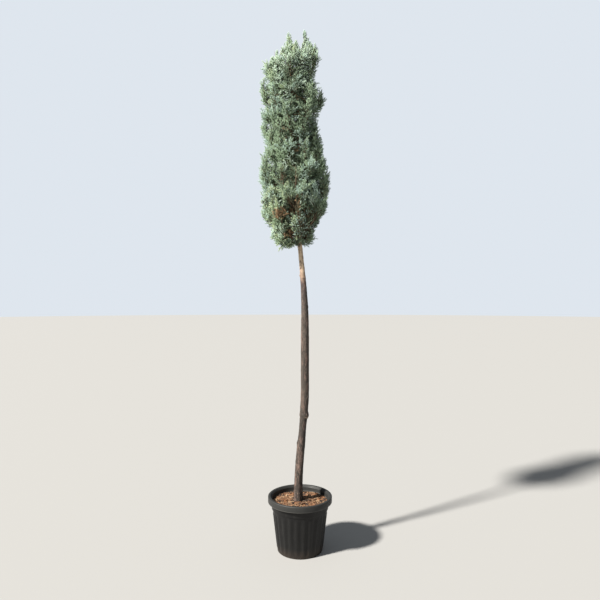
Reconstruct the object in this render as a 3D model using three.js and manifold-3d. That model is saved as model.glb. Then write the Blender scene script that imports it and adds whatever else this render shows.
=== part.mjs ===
// An Arizona cypress grown as a standard: a clear stem in a nursery container, under a narrow
// crown of upswept plumes. Millimetres, +Z up. The origin is the middle of the container's
// underside, and the side that faces the viewer is towards -Y.
import * as THREE from "three";
import { mergeVertices } from "three/addons/utils/BufferGeometryUtils.js";
import Module from "manifold-3d";

const wasm = await Module();
wasm.setup();

const goldenAngle = Math.PI * (3 - Math.sqrt(5));
const touchGap = 0.3; // between pieces that meet

const pot = {
  height: 380,
  rimRadius: 225,
  baseRadius: 158,
  wall: 3.5,
  floor: 4,
  footRound: 4, // rounding of the foot's edge
  lipDepth: 42, // how far the turned-down lip hangs
  lipWall: 3.5,
  rimThickness: 6, // of the flat ring on top
  lipRound: 4, // rounding of the lip's top edge
  collarRadius: 200, // the plain band under the lip
  collarDepth: 88, // from the rim down to the step where the fluted body starts
  collarTaper: 2, // how much narrower the band is at its foot
  stepIn: 6,
  segments: 48,
  fluteDepth: 1.6,
};

const soil = {
  level: 335, // top of the bark mulch, where the stem is cut
  mulchDepth: 35,
  swell: 5, // how far the mulch rises and falls
  rings: [150, 95, 48], // where the mulch's surface bends
  calm: [50, 90], // the surface is level within the first and waves from the second on
  chips: 16,
  chipLength: 38,
  chipThickness: 7,
  chipsFrom: 62, // distance of the nearest chips from the middle, and of the others from the wall
  chipsClear: 24,
};

const stem = {
  top: 3430,
  baseRadius: 30,
  neck: { from: 1400, to: 2150, radius: 17.5 }, // the stem narrows here, under the crown
  tipRadius: 4.5,
  flare: 6, // extra radius at the soil, over the root collar
  flareHeight: 60,
  waist: { z: 850, depth: 4, height: 75 }, // the stem is thinner just under its healed bend
  bend: { z: 945, radius: 34, halfHeight: 48, offset: 3 }, // the swelling at the bend itself
  sides: 10,
  rings: 20,
  crowding: 1.4, // sets the rings closer together towards the flare
  knots: 7, // healed stubs of pruned side shoots
  knotRadius: 11,
  // The stem leans out over the lower bend, then comes back and leans the other way in the crown.
  startOffset: -12,
  lowerBend: { from: 400, to: 1150, shift: 47 },
  upperBend: { from: 1600, to: 2800, shift: -85 },
  depthWave: 6,
  depthWaveLength: 420,
};

const crown = {
  base: 2140,
  top: 3600,
  radius: 246,
  widestAt: 0.25, // shares of the crown's height
  shoulder: 0.8,
  narrowing: 0.31, // share of the radius lost from the widest level to the top
  boughs: 24,
  crowding: 1.12, // sets the boughs closer together where the crown is wide
  lean: 1, // how much a bough's foliage climbs for each step outwards, above the skirt
  skirt: 350, // height over which the lowest foliage goes from level to climbing
  tipZone: 120, // height of the top zone, where tips may stand out past the outline
  tipSpread: 145, // but no further than this from the stem
  seed: 4711,
};

// Where the outline swells into a tuft or draws in, seen from the stem. Angle 0 is towards +X.
const tufts = [
  { angle: Math.PI, z: 3300, reach: 50, spread: 0.6, height: 60 },
  { angle: Math.PI, z: 3070, reach: 28, spread: 0.6, height: 80 },
  { angle: Math.PI, z: 2660, reach: 40, spread: 0.7, height: 80 },
  { angle: Math.PI, z: 2360, reach: 45, spread: 0.8, height: 65 },
  { angle: 0, z: 3310, reach: -42, spread: 0.5, height: 40 },
  { angle: 0, z: 3150, reach: 26, spread: 0.6, height: 80 },
  { angle: 0, z: 2995, reach: -45, spread: 0.5, height: 40 },
  { angle: 0, z: 2630, reach: 22, spread: 0.7, height: 100 },
  { angle: 0, z: 2285, reach: -62, spread: 0.9, height: 75 },
  { angle: -Math.PI / 2, z: 3080, reach: 20, spread: 0.6, height: 80 },
  { angle: -Math.PI / 2, z: 2830, reach: -20, spread: 0.6, height: 50 },
  { angle: Math.PI / 2, z: 3180, reach: 22, spread: 0.6, height: 90 },
  { angle: Math.PI / 2, z: 2450, reach: 24, spread: 0.8, height: 90 },
];

// The leader's own plumes: distance under the crown's top, angle, and distance from the stem.
const leaderPlumes = [
  { below: 68, angle: 2.8, out: 30 },
  { below: 70, angle: 0.2, out: 74 },
  { below: 104, angle: -1.7, out: 58 },
];

// From the crown's base to the lowest bough's tips, and from the highest one's to the crown's top.
const boughRange = { low: 55, high: 70 };

const boughs = {
  radius: 11, // the stoutest, at the stem
  stoutness: 0.55, // share of the stem's radius that thinner ones have
  taper: 0.35,
  sag: 6,
  cutAt: 0.9, // share of the way to the fork where the foliage takes over
  sides: 5,
  steps: 3,
};

const plume = {
  perBough: [4, 3], // in the lower and the upper half of the crown
  spread: 106, // from the middle of a bough's foliage to its plumes' tips
  forkShare: 0.3, // shares of the crown's radius: where a bough forks, and how far a plume's axis reaches
  seedShare: 0.64,
  tipShare: 0.87,
  rootRadius: 26,
  coreRadius: 64,
  thinnest: 2,
  fullLength: 190, // a plume this long or longer is at its stoutest
  sides: 5,
  steps: 3,
  sprays: 4, // on each plume, besides the one at its tip
  sprayLength: 118,
  sprayRadius: 11,
  sprayAngle: 0.9, // from the plume's axis, in radians
  leaderLength: 95,
};

// Shares of the crown's radius that each kind of foliage may reach.
const reachShare = { core: 0.95, spray: 1.08, leaderRoot: 1.06, leader: 1.15 };

const cell = {
  coreMargin: 6,
  sprayMargin: 4,
  stemMargin: 4,
  skirtShare: 2.2, // how much wider the margins are in the skirt, where the spaces' borders curve
};

const colours = {
  pot: 0x2c2c2c,
  mix: 0x3b2a1e,
  mulch: 0xa9784d,
  bark: 0x8d7566,
  bough: 0x7c6556,
  foliage: 0x8fa596,
  youngFoliage: 0x9fb096,
};

// The minimal standard generator: the same numbers from the same seed, each in 0 to 1.
function makeRandom(seed) {
  let state = seed;
  return () => {
    state = (state * 16807) % 2147483647;
    return state / 2147483647;
  };
}

function smoothStep(low, high, value) {
  const t = Math.min(1, Math.max(0, (value - low) / (high - low)));
  return t * t * (3 - 2 * t);
}

// Solids

// A closed geometry as a solid: vertices merged, and faces that collapse to a line left out.
function solidOf(geometry) {
  const bare = geometry.index ? geometry.toNonIndexed() : geometry.clone();
  bare.deleteAttribute("normal");
  bare.deleteAttribute("uv");
  const merged = mergeVertices(bare, 1e-3);
  const corners = merged.index.array;
  const kept = [];
  for (let i = 0; i < corners.length; i += 3) {
    const [a, b, c] = [corners[i], corners[i + 1], corners[i + 2]];
    if (a !== b && b !== c && c !== a) kept.push(a, b, c);
  }
  return new wasm.Manifold(
    new wasm.Mesh({
      numProp: 3,
      vertProperties: merged.attributes.position.array,
      triVerts: new Uint32Array(kept),
    }),
  );
}

// The biggest body of a solid, without loose scraps and with sealed hollows filled.
function mainBody(solid) {
  const bodies = solid.decompose();
  return bodies.reduce((best, body) => (body.volume() > best.volume() ? body : best));
}

function meshOf(name, solid, colour, roughness) {
  const made = solid.getMesh();
  const geometry = new THREE.BufferGeometry();
  geometry.setAttribute("position", new THREE.BufferAttribute(made.vertProperties, 3));
  geometry.setIndex(new THREE.BufferAttribute(made.triVerts, 1));
  const flat = geometry.toNonIndexed();
  flat.computeVertexNormals();
  const material = new THREE.MeshStandardMaterial({ color: colour, roughness, metalness: 0 });
  const mesh = new THREE.Mesh(flat, material);
  mesh.name = name;
  return mesh;
}

// A profile of [radius, height] points turned round the upright axis.
function turned(profile, segments) {
  const points = profile.map(([radius, height]) => new THREE.Vector2(radius, height));
  return new THREE.LatheGeometry(points, segments).rotateX(Math.PI / 2);
}

// A round limb along a curve. radiusAt gives the radius for a share of the length and an angle.
function limb(curve, radiusAt, sides, steps) {
  const geometry = new THREE.CylinderGeometry(1, 1, 1, sides, steps);
  const position = geometry.attributes.position;
  const local = new THREE.Vector3();
  for (let i = 0; i < position.count; i++) {
    local.fromBufferAttribute(position, i);
    const share = Math.min(1, Math.max(0, local.y + 0.5));
    const centre = curve.getPoint(share);
    const forward = curve.getTangent(share);
    const side = new THREE.Vector3(0, 1, 0).cross(forward).normalize();
    const other = new THREE.Vector3().crossVectors(forward, side);
    const onAxis = Math.hypot(local.x, local.z) < 0.5;
    const angle = Math.atan2(local.z, local.x);
    const radius = onAxis ? 0 : radiusAt(share, angle);
    centre.addScaledVector(side, radius * Math.cos(angle));
    centre.addScaledVector(other, -radius * Math.sin(angle));
    position.setXYZ(i, centre.x, centre.y, centre.z);
  }
  return geometry;
}

// The container and what fills it

function wallOutside(height) {
  const stepHeight = pot.height - pot.collarDepth;
  const bodyTop = pot.collarRadius - pot.collarTaper - pot.stepIn;
  return pot.baseRadius + ((bodyTop - pot.baseRadius) * height) / stepHeight;
}

function makePot() {
  const { height, rimRadius, baseRadius, wall, floor, footRound, lipRound, lipWall } = pot;
  const { collarRadius, collarTaper, lipDepth } = pot;
  const stepHeight = height - pot.collarDepth;
  const flange = height - pot.rimThickness;
  const profile = [
    [0, 0],
    [baseRadius - footRound, 0],
    [baseRadius, footRound],
    [wallOutside(stepHeight), stepHeight],
    [collarRadius - collarTaper, stepHeight + pot.stepIn],
    [collarRadius, flange],
    [rimRadius - lipWall, flange],
    [rimRadius - lipWall, height - lipDepth],
    [rimRadius, height - lipDepth],
    [rimRadius, height - lipRound],
    [rimRadius - lipRound, height],
    [collarRadius - 1, height],
    [collarRadius - wall, flange],
    [collarRadius - collarTaper - wall, stepHeight + pot.stepIn],
    [wallOutside(stepHeight) - wall, stepHeight],
    [wallOutside(floor) - wall, floor],
    [0, floor],
  ];
  const geometry = turned(profile, pot.segments);
  flutePot(geometry, stepHeight);
  return solidOf(geometry);
}

// Every other line of the outer body is drawn in, which makes the shallow upright flutes.
function flutePot(geometry, stepHeight) {
  const position = geometry.attributes.position;
  for (let i = 0; i < position.count; i++) {
    const [x, y, z] = [position.getX(i), position.getY(i), position.getZ(i)];
    const radius = Math.hypot(x, y);
    const onWall = z > 1 && z <= stepHeight && Math.abs(radius - wallOutside(z)) < 0.5;
    const line = Math.round((Math.atan2(y, x) / (2 * Math.PI)) * pot.segments);
    if (!onWall || line % 2 === 0) continue;
    const scale = (radius - pot.fluteDepth) / radius;
    position.setXYZ(i, x * scale, y * scale, z);
  }
}

// Inner radius that the filling has at a height, clear of the wall.
function fillRadius(height) {
  const stepHeight = pot.height - pot.collarDepth;
  if (height <= stepHeight) return wallOutside(height) - pot.wall - touchGap;
  return pot.collarRadius - pot.collarTaper - pot.wall - touchGap;
}

function makePottingMix() {
  const bottom = pot.floor + touchGap;
  const top = soil.level - soil.mulchDepth;
  const stepHeight = pot.height - pot.collarDepth;
  const profile = [
    [0, bottom],
    [fillRadius(bottom), bottom],
    [fillRadius(stepHeight), stepHeight],
    [fillRadius(top), top],
    [0, top],
  ];
  return solidOf(turned(profile, pot.segments));
}

function mulchHeight(x, y) {
  const radius = Math.hypot(x, y);
  const calm = smoothStep(...soil.calm, radius); // level under the stem
  const wave = Math.sin(x / 31 + 1) * Math.cos(y / 37) + 0.6 * Math.sin((x + y) / 19);
  return soil.level + calm * soil.swell * (wave - 0.5);
}

function makeMulch() {
  const bottom = soil.level - soil.mulchDepth + touchGap;
  const edge = fillRadius(soil.level);
  const rows = [edge, ...soil.rings];
  const profile = [[0, bottom], [edge, bottom], ...rows.map((r) => [r, soil.level]), [0, soil.level]];
  const geometry = turned(profile, pot.segments);
  const position = geometry.attributes.position;
  for (let i = 0; i < position.count; i++) {
    const [x, y] = [position.getX(i), position.getY(i)];
    if (position.getZ(i) > bottom + 1) position.setZ(i, mulchHeight(x, y));
  }
  const random = makeRandom(crown.seed + 1);
  const pieces = [solidOf(geometry)];
  const { chipsFrom, chipsClear } = soil;
  for (let i = 0; i < soil.chips; i++) {
    const reach = chipsFrom + (edge - chipsFrom - chipsClear) * Math.sqrt(random());
    const angle = i * goldenAngle;
    const [x, y] = [reach * Math.cos(angle), reach * Math.sin(angle)];
    const length = soil.chipLength * (0.6 + 0.7 * random());
    const chip = new THREE.BoxGeometry(length, length * 0.45, soil.chipThickness);
    chip.rotateX((random() - 0.5) * 0.7).rotateY((random() - 0.5) * 0.7);
    chip.rotateZ(random() * Math.PI * 2);
    chip.translate(x, y, mulchHeight(x, y) + 2);
    pieces.push(solidOf(chip));
  }
  return mainBody(wasm.Manifold.union(pieces));
}

// The stem

function stemPoint(z) {
  const { startOffset, lowerBend, upperBend } = stem;
  const x =
    startOffset +
    lowerBend.shift * smoothStep(lowerBend.from, lowerBend.to, z) +
    upperBend.shift * smoothStep(upperBend.from, upperBend.to, z);
  const y = stem.depthWave * Math.sin((z - soil.level) / stem.depthWaveLength);
  return new THREE.Vector3(x, y, z);
}

function stemRadius(z) {
  const { neck, waist } = stem;
  const below = (stem.baseRadius - neck.radius) * (1 - smoothStep(neck.from, neck.to, z));
  const above = (neck.radius - stem.tipRadius) * Math.max(0, (z - neck.to) / (stem.top - neck.to));
  const narrowed = waist.depth * Math.exp(-(((z - waist.z) / waist.height) ** 2));
  return neck.radius + below - above - narrowed;
}

class StemCurve extends THREE.Curve {
  getPoint(share) {
    const bottom = soil.level + touchGap;
    return stemPoint(bottom + (stem.top - bottom) * share ** stem.crowding);
  }
  // Sections stay level, so that the cut at the soil is flat.
  getTangent() {
    return new THREE.Vector3(0, 0, 1);
  }
}

function makeStem(extra) {
  const curve = new StemCurve();
  const radiusAt = (share, angle) => {
    const z = curve.getPoint(share).z;
    const flare = stem.flare * Math.exp(-(z - soil.level) / stem.flareHeight);
    const lobes = 1 + 0.5 * Math.cos(5 * angle + 0.6);
    return stemRadius(z) + flare * lobes + extra;
  };
  const { bend } = stem;
  const swelling = new THREE.SphereGeometry(1, stem.sides, 6).rotateX(Math.PI / 2);
  swelling.scale(bend.radius + extra, bend.radius + extra, bend.halfHeight + extra);
  const middle = stemPoint(bend.z);
  swelling.translate(middle.x + bend.offset, middle.y, bend.z);
  const pieces = [solidOf(limb(curve, radiusAt, stem.sides, stem.rings)), solidOf(swelling)];
  const random = makeRandom(crown.seed + 2);
  for (let i = 0; i < stem.knots; i++) {
    const z = 430 + ((crown.base - 520) * (i + 0.3 + 0.5 * random())) / stem.knots;
    const angle = i * goldenAngle + 0.8;
    const size = stem.knotRadius * (0.7 + 0.5 * random());
    const knot = new THREE.IcosahedronGeometry(size + extra, 0);
    const centre = stemPoint(z);
    const out = stemRadius(z) - 0.35 * size;
    knot.scale(1, 1, 1.4);
    knot.translate(centre.x + out * Math.cos(angle), centre.y + out * Math.sin(angle), z);
    pieces.push(solidOf(knot));
  }
  return mainBody(wasm.Manifold.union(pieces));
}

// The crown's layout

function crownRadius(z, angle) {
  const t = (z - crown.base) / (crown.top - crown.base);
  if (t <= 0 || t >= 1) return 0;
  const { widestAt, shoulder, narrowing } = crown;
  const under = t < widestAt ? Math.sqrt(1 - (1 - t / widestAt) ** 2) : 1;
  const taper = t > widestAt ? 1 - narrowing * ((t - widestAt) / (1 - widestAt)) ** 0.6 : 1;
  const roundTop = t > shoulder ? Math.sqrt(1 - ((t - shoulder) / (1 - shoulder)) ** 4) : 1;
  let radius = crown.radius * under * taper * roundTop;
  for (const tuft of tufts) {
    const across = (1 - Math.cos(angle - tuft.angle)) / tuft.spread ** 2;
    const along = ((z - tuft.z) / tuft.height) ** 2 / 2;
    radius += tuft.reach * Math.exp(-across - along);
  }
  return Math.max(0, radius);
}

function climb(z) {
  return crown.lean * smoothStep(crown.base - 60, crown.base + crown.skirt, z);
}

// A point of the crown by height, angle and distance from the stem's middle.
function crownPoint(z, angle, distance) {
  const centre = stemPoint(z);
  return new THREE.Vector3(
    centre.x + distance * Math.cos(angle),
    centre.y + distance * Math.sin(angle),
    z,
  );
}

// The tips of a bough's plumes, in a ring round the place where the bough points.
function plumeTips(z, angle, radius, firstTurn, random) {
  const [lower, upper] = plume.perBough;
  const count = z < (crown.base + crown.top) / 2 ? lower : upper;
  const tips = [];
  for (let i = 0; i < count; i++) {
    const turn = firstTurn + ((i + 0.3 * random()) / count) * 2 * Math.PI;
    const tipZ = Math.min(z + plume.spread * Math.sin(turn), crown.top - plume.leaderLength + 10);
    const tipAngle = angle + (plume.spread * Math.cos(turn)) / radius;
    const reach = crownRadius(tipZ, tipAngle) * plume.tipShare * (0.95 + 0.1 * random());
    tips.push(crownPoint(tipZ, tipAngle, reach));
  }
  return tips;
}

// Each bough's foliage has the space that is nearer its own seed than any other seed. Space is
// measured on surfaces that climb outwards, so the spaces slope up as the plumes do.
function levelled(point) {
  const centre = stemPoint(point.z);
  const out = Math.hypot(point.x - centre.x, point.y - centre.y);
  return new THREE.Vector3(point.x, point.y, point.z - climb(point.z) * out);
}

// Boughs are set in a spiral up the stem, as side shoots are round a leader.
function layOutCrown() {
  const random = makeRandom(crown.seed);
  const plan = [];
  for (let i = 0; i < crown.boughs; i++) {
    const share = (i + 0.5) / crown.boughs;
    const range = crown.top - crown.base - boughRange.low - boughRange.high;
    const z = crown.base + boughRange.low + range * share ** crown.crowding;
    const angle = 0.4 + i * goldenAngle;
    const radius = crownRadius(z, angle);
    const rise = climb(z) * (plume.tipShare - plume.forkShare) * radius + 35 * climb(z);
    const forkZ = z - rise;
    const forkOut = plume.forkShare * radius;
    const seedZ = z - climb(z) * (plume.tipShare - plume.seedShare) * radius;
    plan.push({
      name: String(i + 1).padStart(2, "0"),
      fork: crownPoint(forkZ, angle, forkOut),
      root: crownPoint(forkZ - (0.35 + 0.45 * climb(z)) * forkOut, angle, 0),
      seed: levelled(crownPoint(seedZ, angle, plume.seedShare * radius)),
      tips: plumeTips(z, angle, radius, i, random),
    });
  }
  const leader = { name: "top", fork: stemPoint(stem.top + 25) };
  leader.seed = levelled(crownPoint(crown.top - boughRange.high, 0, 0));
  leader.tips = leaderPlumes.map(({ below, angle, out }) => crownPoint(crown.top - below, angle, out));
  plan.push(leader);
  return plan;
}

// How far a point lies inside a bough's own space.
function room(plan, own, point) {
  const flat = levelled(point);
  const mine = flat.distanceTo(own.seed);
  let nearest = Infinity;
  for (const other of plan) {
    if (other !== own) nearest = Math.min(nearest, flat.distanceTo(other.seed));
  }
  return (nearest - mine) / 2;
}

// Foliage

// A three-sided spray, thickest before its middle.
function spray(root, tip, radius) {
  const direction = tip.clone().sub(root);
  const length = direction.length();
  const profile = [
    [0, 0],
    [radius, 0.42 * length],
    [0, length],
  ].map(([r, h]) => new THREE.Vector2(r, h));
  const geometry = new THREE.LatheGeometry(profile, 3);
  const turn = new THREE.Quaternion().setFromUnitVectors(
    new THREE.Vector3(0, 1, 0),
    direction.normalize(),
  );
  return geometry.applyQuaternion(turn).translate(root.x, root.y, root.z);
}

function plumeCurve(fork, tip) {
  const bend = fork.clone().lerp(tip, 0.78);
  bend.z = fork.z + 0.3 * (tip.z - fork.z);
  return new THREE.QuadraticBezierCurve3(fork, bend, tip);
}

function clearOfStem(point, margin) {
  const centre = stemPoint(point.z);
  const out = Math.hypot(point.x - centre.x, point.y - centre.y);
  return point.z > stem.top + margin || out > stemRadius(point.z) + margin;
}

// True where a point of the foliage may lie: in its own space, clear of the stem, and no further
// out than a share of the crown's radius, or in the top zone.
function fits(plan, own, point, margin, outerShare) {
  const centre = stemPoint(point.z);
  const [x, y] = [point.x - centre.x, point.y - centre.y];
  const out = Math.hypot(x, y);
  const inside = out < outerShare * crownRadius(point.z, Math.atan2(y, x));
  const free = inside || (point.z > crown.top - crown.tipZone && out < crown.tipSpread);
  const widened = margin * (1 + cell.skirtShare * (1 - climb(point.z) / crown.lean));
  return free && room(plan, own, point) > widened && clearOfStem(point, cell.stemMargin);
}

function makeFoliage(plan, own, random) {
  const pieces = [];
  for (const tip of own.tips) {
    const curve = plumeCurve(own.fork, tip);
    const stout = Math.min(1, curve.getLength() / plume.fullLength);
    const away = tip.clone().sub(stemPoint(tip.z)).normalize();
    const coreRadius = (share, angle) => {
      const swell = Math.sin(Math.PI * Math.min(1, share ** 1.15)) ** 0.75;
      const lump = 1 + 0.22 * Math.sin(3 * angle + 9 * share + 5 * own.fork.z);
      return plume.rootRadius * (1 - share) + plume.coreRadius * stout * swell * lump;
    };
    const fitted = (share, angle) => {
      const tangent = curve.getTangent(share);
      const side = new THREE.Vector3(0, 1, 0).cross(tangent).normalize();
      const other = new THREE.Vector3().crossVectors(tangent, side);
      const centre = curve.getPoint(share);
      for (let radius = coreRadius(share, angle); radius > plume.thinnest; radius -= 3) {
        const edge = centre.clone();
        edge.addScaledVector(side, radius * Math.cos(angle));
        edge.addScaledVector(other, -radius * Math.sin(angle));
        if (fits(plan, own, edge, cell.coreMargin, reachShare.core)) return radius;
      }
      return plume.thinnest;
    };
    pieces.push(solidOf(limb(curve, fitted, plume.sides, plume.steps)));
    for (let i = 0; i < plume.sprays; i++) {
      const share = 0.3 + (0.66 * (i + 0.5)) / plume.sprays;
      const angle = i * goldenAngle + random() * 0.8;
      const tangent = curve.getTangent(share);
      const side = new THREE.Vector3(0, 1, 0).cross(tangent).normalize();
      const other = new THREE.Vector3().crossVectors(tangent, side);
      const outward = side.multiplyScalar(Math.cos(angle)).addScaledVector(other, Math.sin(angle));
      if (outward.dot(away) < -0.25) outward.negate();
      const spread = plume.sprayAngle * (1.1 - 0.45 * share);
      const direction = tangent.multiplyScalar(Math.cos(spread));
      direction.addScaledVector(outward, Math.sin(spread));
      direction.z += 0.25;
      direction.normalize();
      const root = curve.getPoint(share);
      const longest = plume.sprayLength * (0.8 + 0.35 * random()) * (0.6 + 0.4 * stout);
      for (const cut of [1, 0.84]) {
        const end = root.clone().addScaledVector(direction, longest * cut);
        const waist = root.clone().lerp(end, 0.5);
        const waistMargin = cell.sprayMargin + plume.sprayRadius;
        if (!fits(plan, own, end, cell.sprayMargin, reachShare.spray)) continue;
        if (!fits(plan, own, waist, waistMargin, reachShare.spray)) continue;
        pieces.push(solidOf(spray(root, end, plume.sprayRadius)));
        break;
      }
    }
    const root = curve.getPoint(0.8);
    const direction = curve.getTangent(0.95).add(new THREE.Vector3(0, 0, 0.3)).normalize();
    const end = root.clone().addScaledVector(direction, plume.leaderLength * (0.85 + 0.3 * random()));
    const held = fits(plan, own, root, cell.sprayMargin, reachShare.leaderRoot);
    if (held && fits(plan, own, end, cell.sprayMargin, reachShare.leader)) {
      pieces.push(solidOf(spray(root, end, plume.sprayRadius)));
    }
  }
  return wasm.Manifold.union(pieces);
}

// A bough climbs from the stem to its fork. It is cut a little short of the fork: the rest is
// the joint, the foot of the foliage's own stem, and the two face each other across the gap.
function makeBough(own, stemSpace) {
  const middle = own.root.clone().lerp(own.fork, 0.5);
  middle.z -= boughs.sag;
  const curve = new THREE.QuadraticBezierCurve3(own.root, middle, own.fork);
  const stout = Math.min(boughs.radius, boughs.stoutness * stemRadius(own.root.z));
  const tapered = (extra) => (share) => stout * (1 - boughs.taper * share) + extra;
  const whole = solidOf(limb(curve, tapered(0), boughs.sides, boughs.steps));
  const widened = solidOf(limb(curve, tapered(touchGap), boughs.sides, boughs.steps));
  const forward = curve.getTangent(boughs.cutAt);
  const offset = curve.getPoint(boughs.cutAt).dot(forward);
  const normal = [forward.x, forward.y, forward.z];
  const back = [-forward.x, -forward.y, -forward.z];
  return {
    solid: mainBody(whole.trimByPlane(back, -offset).subtract(stemSpace)),
    space: widened.trimByPlane(back, -offset - touchGap),
    joint: whole.trimByPlane(normal, offset + touchGap),
    jointSpace: widened.trimByPlane(normal, offset),
  };
}

function makeLeaderJoint(own) {
  const foot = stemPoint(stem.top).setZ(stem.top + touchGap);
  const curve = new THREE.LineCurve3(foot, own.fork);
  return solidOf(limb(curve, () => stem.tipRadius, 6, 1));
}

function build() {
  const group = new THREE.Group();
  group.add(meshOf("pot", makePot(), colours.pot, 0.55));
  group.add(meshOf("potting_mix", makePottingMix(), colours.mix, 1));
  group.add(meshOf("bark_mulch", makeMulch(), colours.mulch, 0.95));
  group.add(meshOf("trunk", makeStem(0), colours.bark, 0.9));

  const stemSpace = makeStem(touchGap);
  const plan = layOutCrown();
  const limbs = plan.map((own) => (own.root ? makeBough(own, stemSpace) : undefined));
  const taken = wasm.Manifold.union([stemSpace, ...limbs.filter(Boolean).map((l) => l.space)]);
  const random = makeRandom(crown.seed + 3);
  plan.forEach((own, i) => {
    const otherJoints = limbs.filter((l, j) => l && j !== i).map((l) => l.jointSpace);
    const kept = makeFoliage(plan, own, random).subtract(taken);
    const leaves = mainBody(kept.subtract(wasm.Manifold.union(otherJoints)));
    const joint = limbs[i] ? limbs[i].joint : makeLeaderJoint(own);
    const colour = own.fork.z > crown.top - 500 ? colours.youngFoliage : colours.foliage;
    if (limbs[i]) group.add(meshOf("bough_" + own.name, limbs[i].solid, colours.bough, 0.9));
    group.add(meshOf("foliage_" + own.name, mainBody(leaves.add(joint)), colour, 0.8));
  });
  return group;
}

export default build();
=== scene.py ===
import math

import bmesh
import bpy
import numpy as np
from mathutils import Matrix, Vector


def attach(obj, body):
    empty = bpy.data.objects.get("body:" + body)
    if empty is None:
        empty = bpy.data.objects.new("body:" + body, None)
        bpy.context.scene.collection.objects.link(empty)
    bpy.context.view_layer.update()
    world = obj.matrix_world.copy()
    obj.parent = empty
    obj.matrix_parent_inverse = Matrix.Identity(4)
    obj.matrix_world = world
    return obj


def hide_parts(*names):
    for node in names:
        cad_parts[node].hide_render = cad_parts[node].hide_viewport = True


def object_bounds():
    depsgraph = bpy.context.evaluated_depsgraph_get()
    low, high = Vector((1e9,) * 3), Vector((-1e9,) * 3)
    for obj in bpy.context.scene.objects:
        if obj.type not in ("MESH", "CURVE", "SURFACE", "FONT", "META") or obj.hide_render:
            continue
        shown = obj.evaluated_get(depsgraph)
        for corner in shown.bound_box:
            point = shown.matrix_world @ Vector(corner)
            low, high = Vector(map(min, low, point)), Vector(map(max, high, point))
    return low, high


# An Arizona cypress grown as a standard: a clear stem in a nursery container, under a narrow
# crown of upswept plumes. Metres, +Z up, with the viewer's side towards -Y.

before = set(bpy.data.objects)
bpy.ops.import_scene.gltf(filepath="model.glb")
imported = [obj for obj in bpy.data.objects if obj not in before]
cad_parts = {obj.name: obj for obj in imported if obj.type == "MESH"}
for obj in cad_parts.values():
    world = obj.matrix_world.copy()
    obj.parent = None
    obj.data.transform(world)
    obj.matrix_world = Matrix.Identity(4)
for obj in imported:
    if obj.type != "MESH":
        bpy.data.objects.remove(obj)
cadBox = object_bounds()
bpy.ops.object.select_all(action="DESELECT")

goldenAngle = math.pi * (3 - math.sqrt(5))
fullTurn = 2 * math.pi
up = np.array([0.0, 0.0, 1.0])


def smoothStep(low, high, value):
    t = np.clip((np.asarray(value, float) - low) / (high - low), 0, 1)
    return t * t * (3 - 2 * t)


# 1 at the middle, falling off on both sides.
def hump(value):
    return np.exp(-(value ** 2))


# The minimal standard generator, which draws the plan of the crown and the knots.
def makeRandom(seed):
    state = seed

    def draw():
        nonlocal state
        state = (state * 16807) % 2147483647
        return state / 2147483647

    return draw


# A first value, with a share of the second one added.
def graded(pair, share):
    return pair[0] + pair[1] * share


def varied(rng, pair, count):
    return graded(pair, rng.random(count))


def unit(vectors):
    return vectors / np.maximum(np.linalg.norm(vectors, axis=-1, keepdims=True), 1e-9)


# Two directions square to each given one.
def squareTo(directions):
    helper = np.where(np.abs(directions[..., 2:3]) < 0.9, up, np.array([1.0, 0.0, 0.0]))
    side = unit(np.cross(helper, directions))
    return side, np.cross(directions, side)


# Square to each direction, turned round it.
def roundAbout(along, turn):
    side, other = squareTo(along)
    return side * np.cos(turn)[:, None] + other * np.sin(turn)[:, None]


def leanedOut(along, outward, angle):
    return along * np.cos(angle)[:, None] + outward * np.sin(angle)[:, None]


# Camera and light

camera = {
    "place": (0.0, -3.737, 1.755),
    "turn": (90.0, 0.0, 0.0),
    "lens": 31.8,
}
light = {
    "keyPlace": (-3.0, -3.0, 4.0),
    "keyTurn": (50.0, 0.0, -58.0),  # from the left of the camera and above
    "keySpread": 5.0,
    "keyStrength": 11.0,
    "keyColour": (1.0, 0.96, 0.90),
    "skyColour": (0.80, 0.86, 0.93, 1.0),
    "skyStrength": 0.36,
    "backdropStrength": 0.92,  # the backdrop is paler than its light
}


def radians(angles):
    return [math.radians(angle) for angle in angles]


def setUpView():
    bpy.ops.object.camera_add(location=camera["place"], rotation=radians(camera["turn"]))
    viewer = bpy.context.object
    viewer.data.lens = camera["lens"]
    bpy.context.scene.camera = viewer
    bpy.ops.object.light_add(
        type="SUN", location=light["keyPlace"], rotation=radians(light["keyTurn"])
    )
    key = bpy.context.object
    key.name = "keyLight"
    key.data.angle = math.radians(light["keySpread"])
    key.data.energy = light["keyStrength"]
    key.data.color = light["keyColour"]
    sky = bpy.data.worlds.new("softSky")
    sky.use_nodes = True
    shine = sky.node_tree.nodes["Background"]
    shine.inputs["Color"].default_value = light["skyColour"]
    seen = sky.node_tree.nodes.new("ShaderNodeLightPath")
    plug(shine.inputs["Strength"], between(
        seen.outputs["Is Camera Ray"], 0.0, 1.0, light["skyStrength"], light["backdropStrength"]
    ))
    bpy.context.scene.world = sky
    bpy.context.scene.view_settings.view_transform = "Standard"


# Materials

def newMaterial(name, roughness, specular=0.5, colour=(0.8, 0.8, 0.8, 1.0)):
    material = bpy.data.materials.new(name)
    material.use_nodes = True
    shader = material.node_tree.nodes["Principled BSDF"]
    shader.inputs["Roughness"].default_value = roughness
    shader.inputs["Specular IOR Level"].default_value = specular
    shader.inputs["Base Color"].default_value = colour
    return material, material.node_tree, shader


# Links another socket to this one, or sets its value.
def plug(socket, value):
    if isinstance(value, bpy.types.NodeSocket):
        socket.id_data.links.new(value, socket)
    else:
        socket.default_value = value


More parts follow.
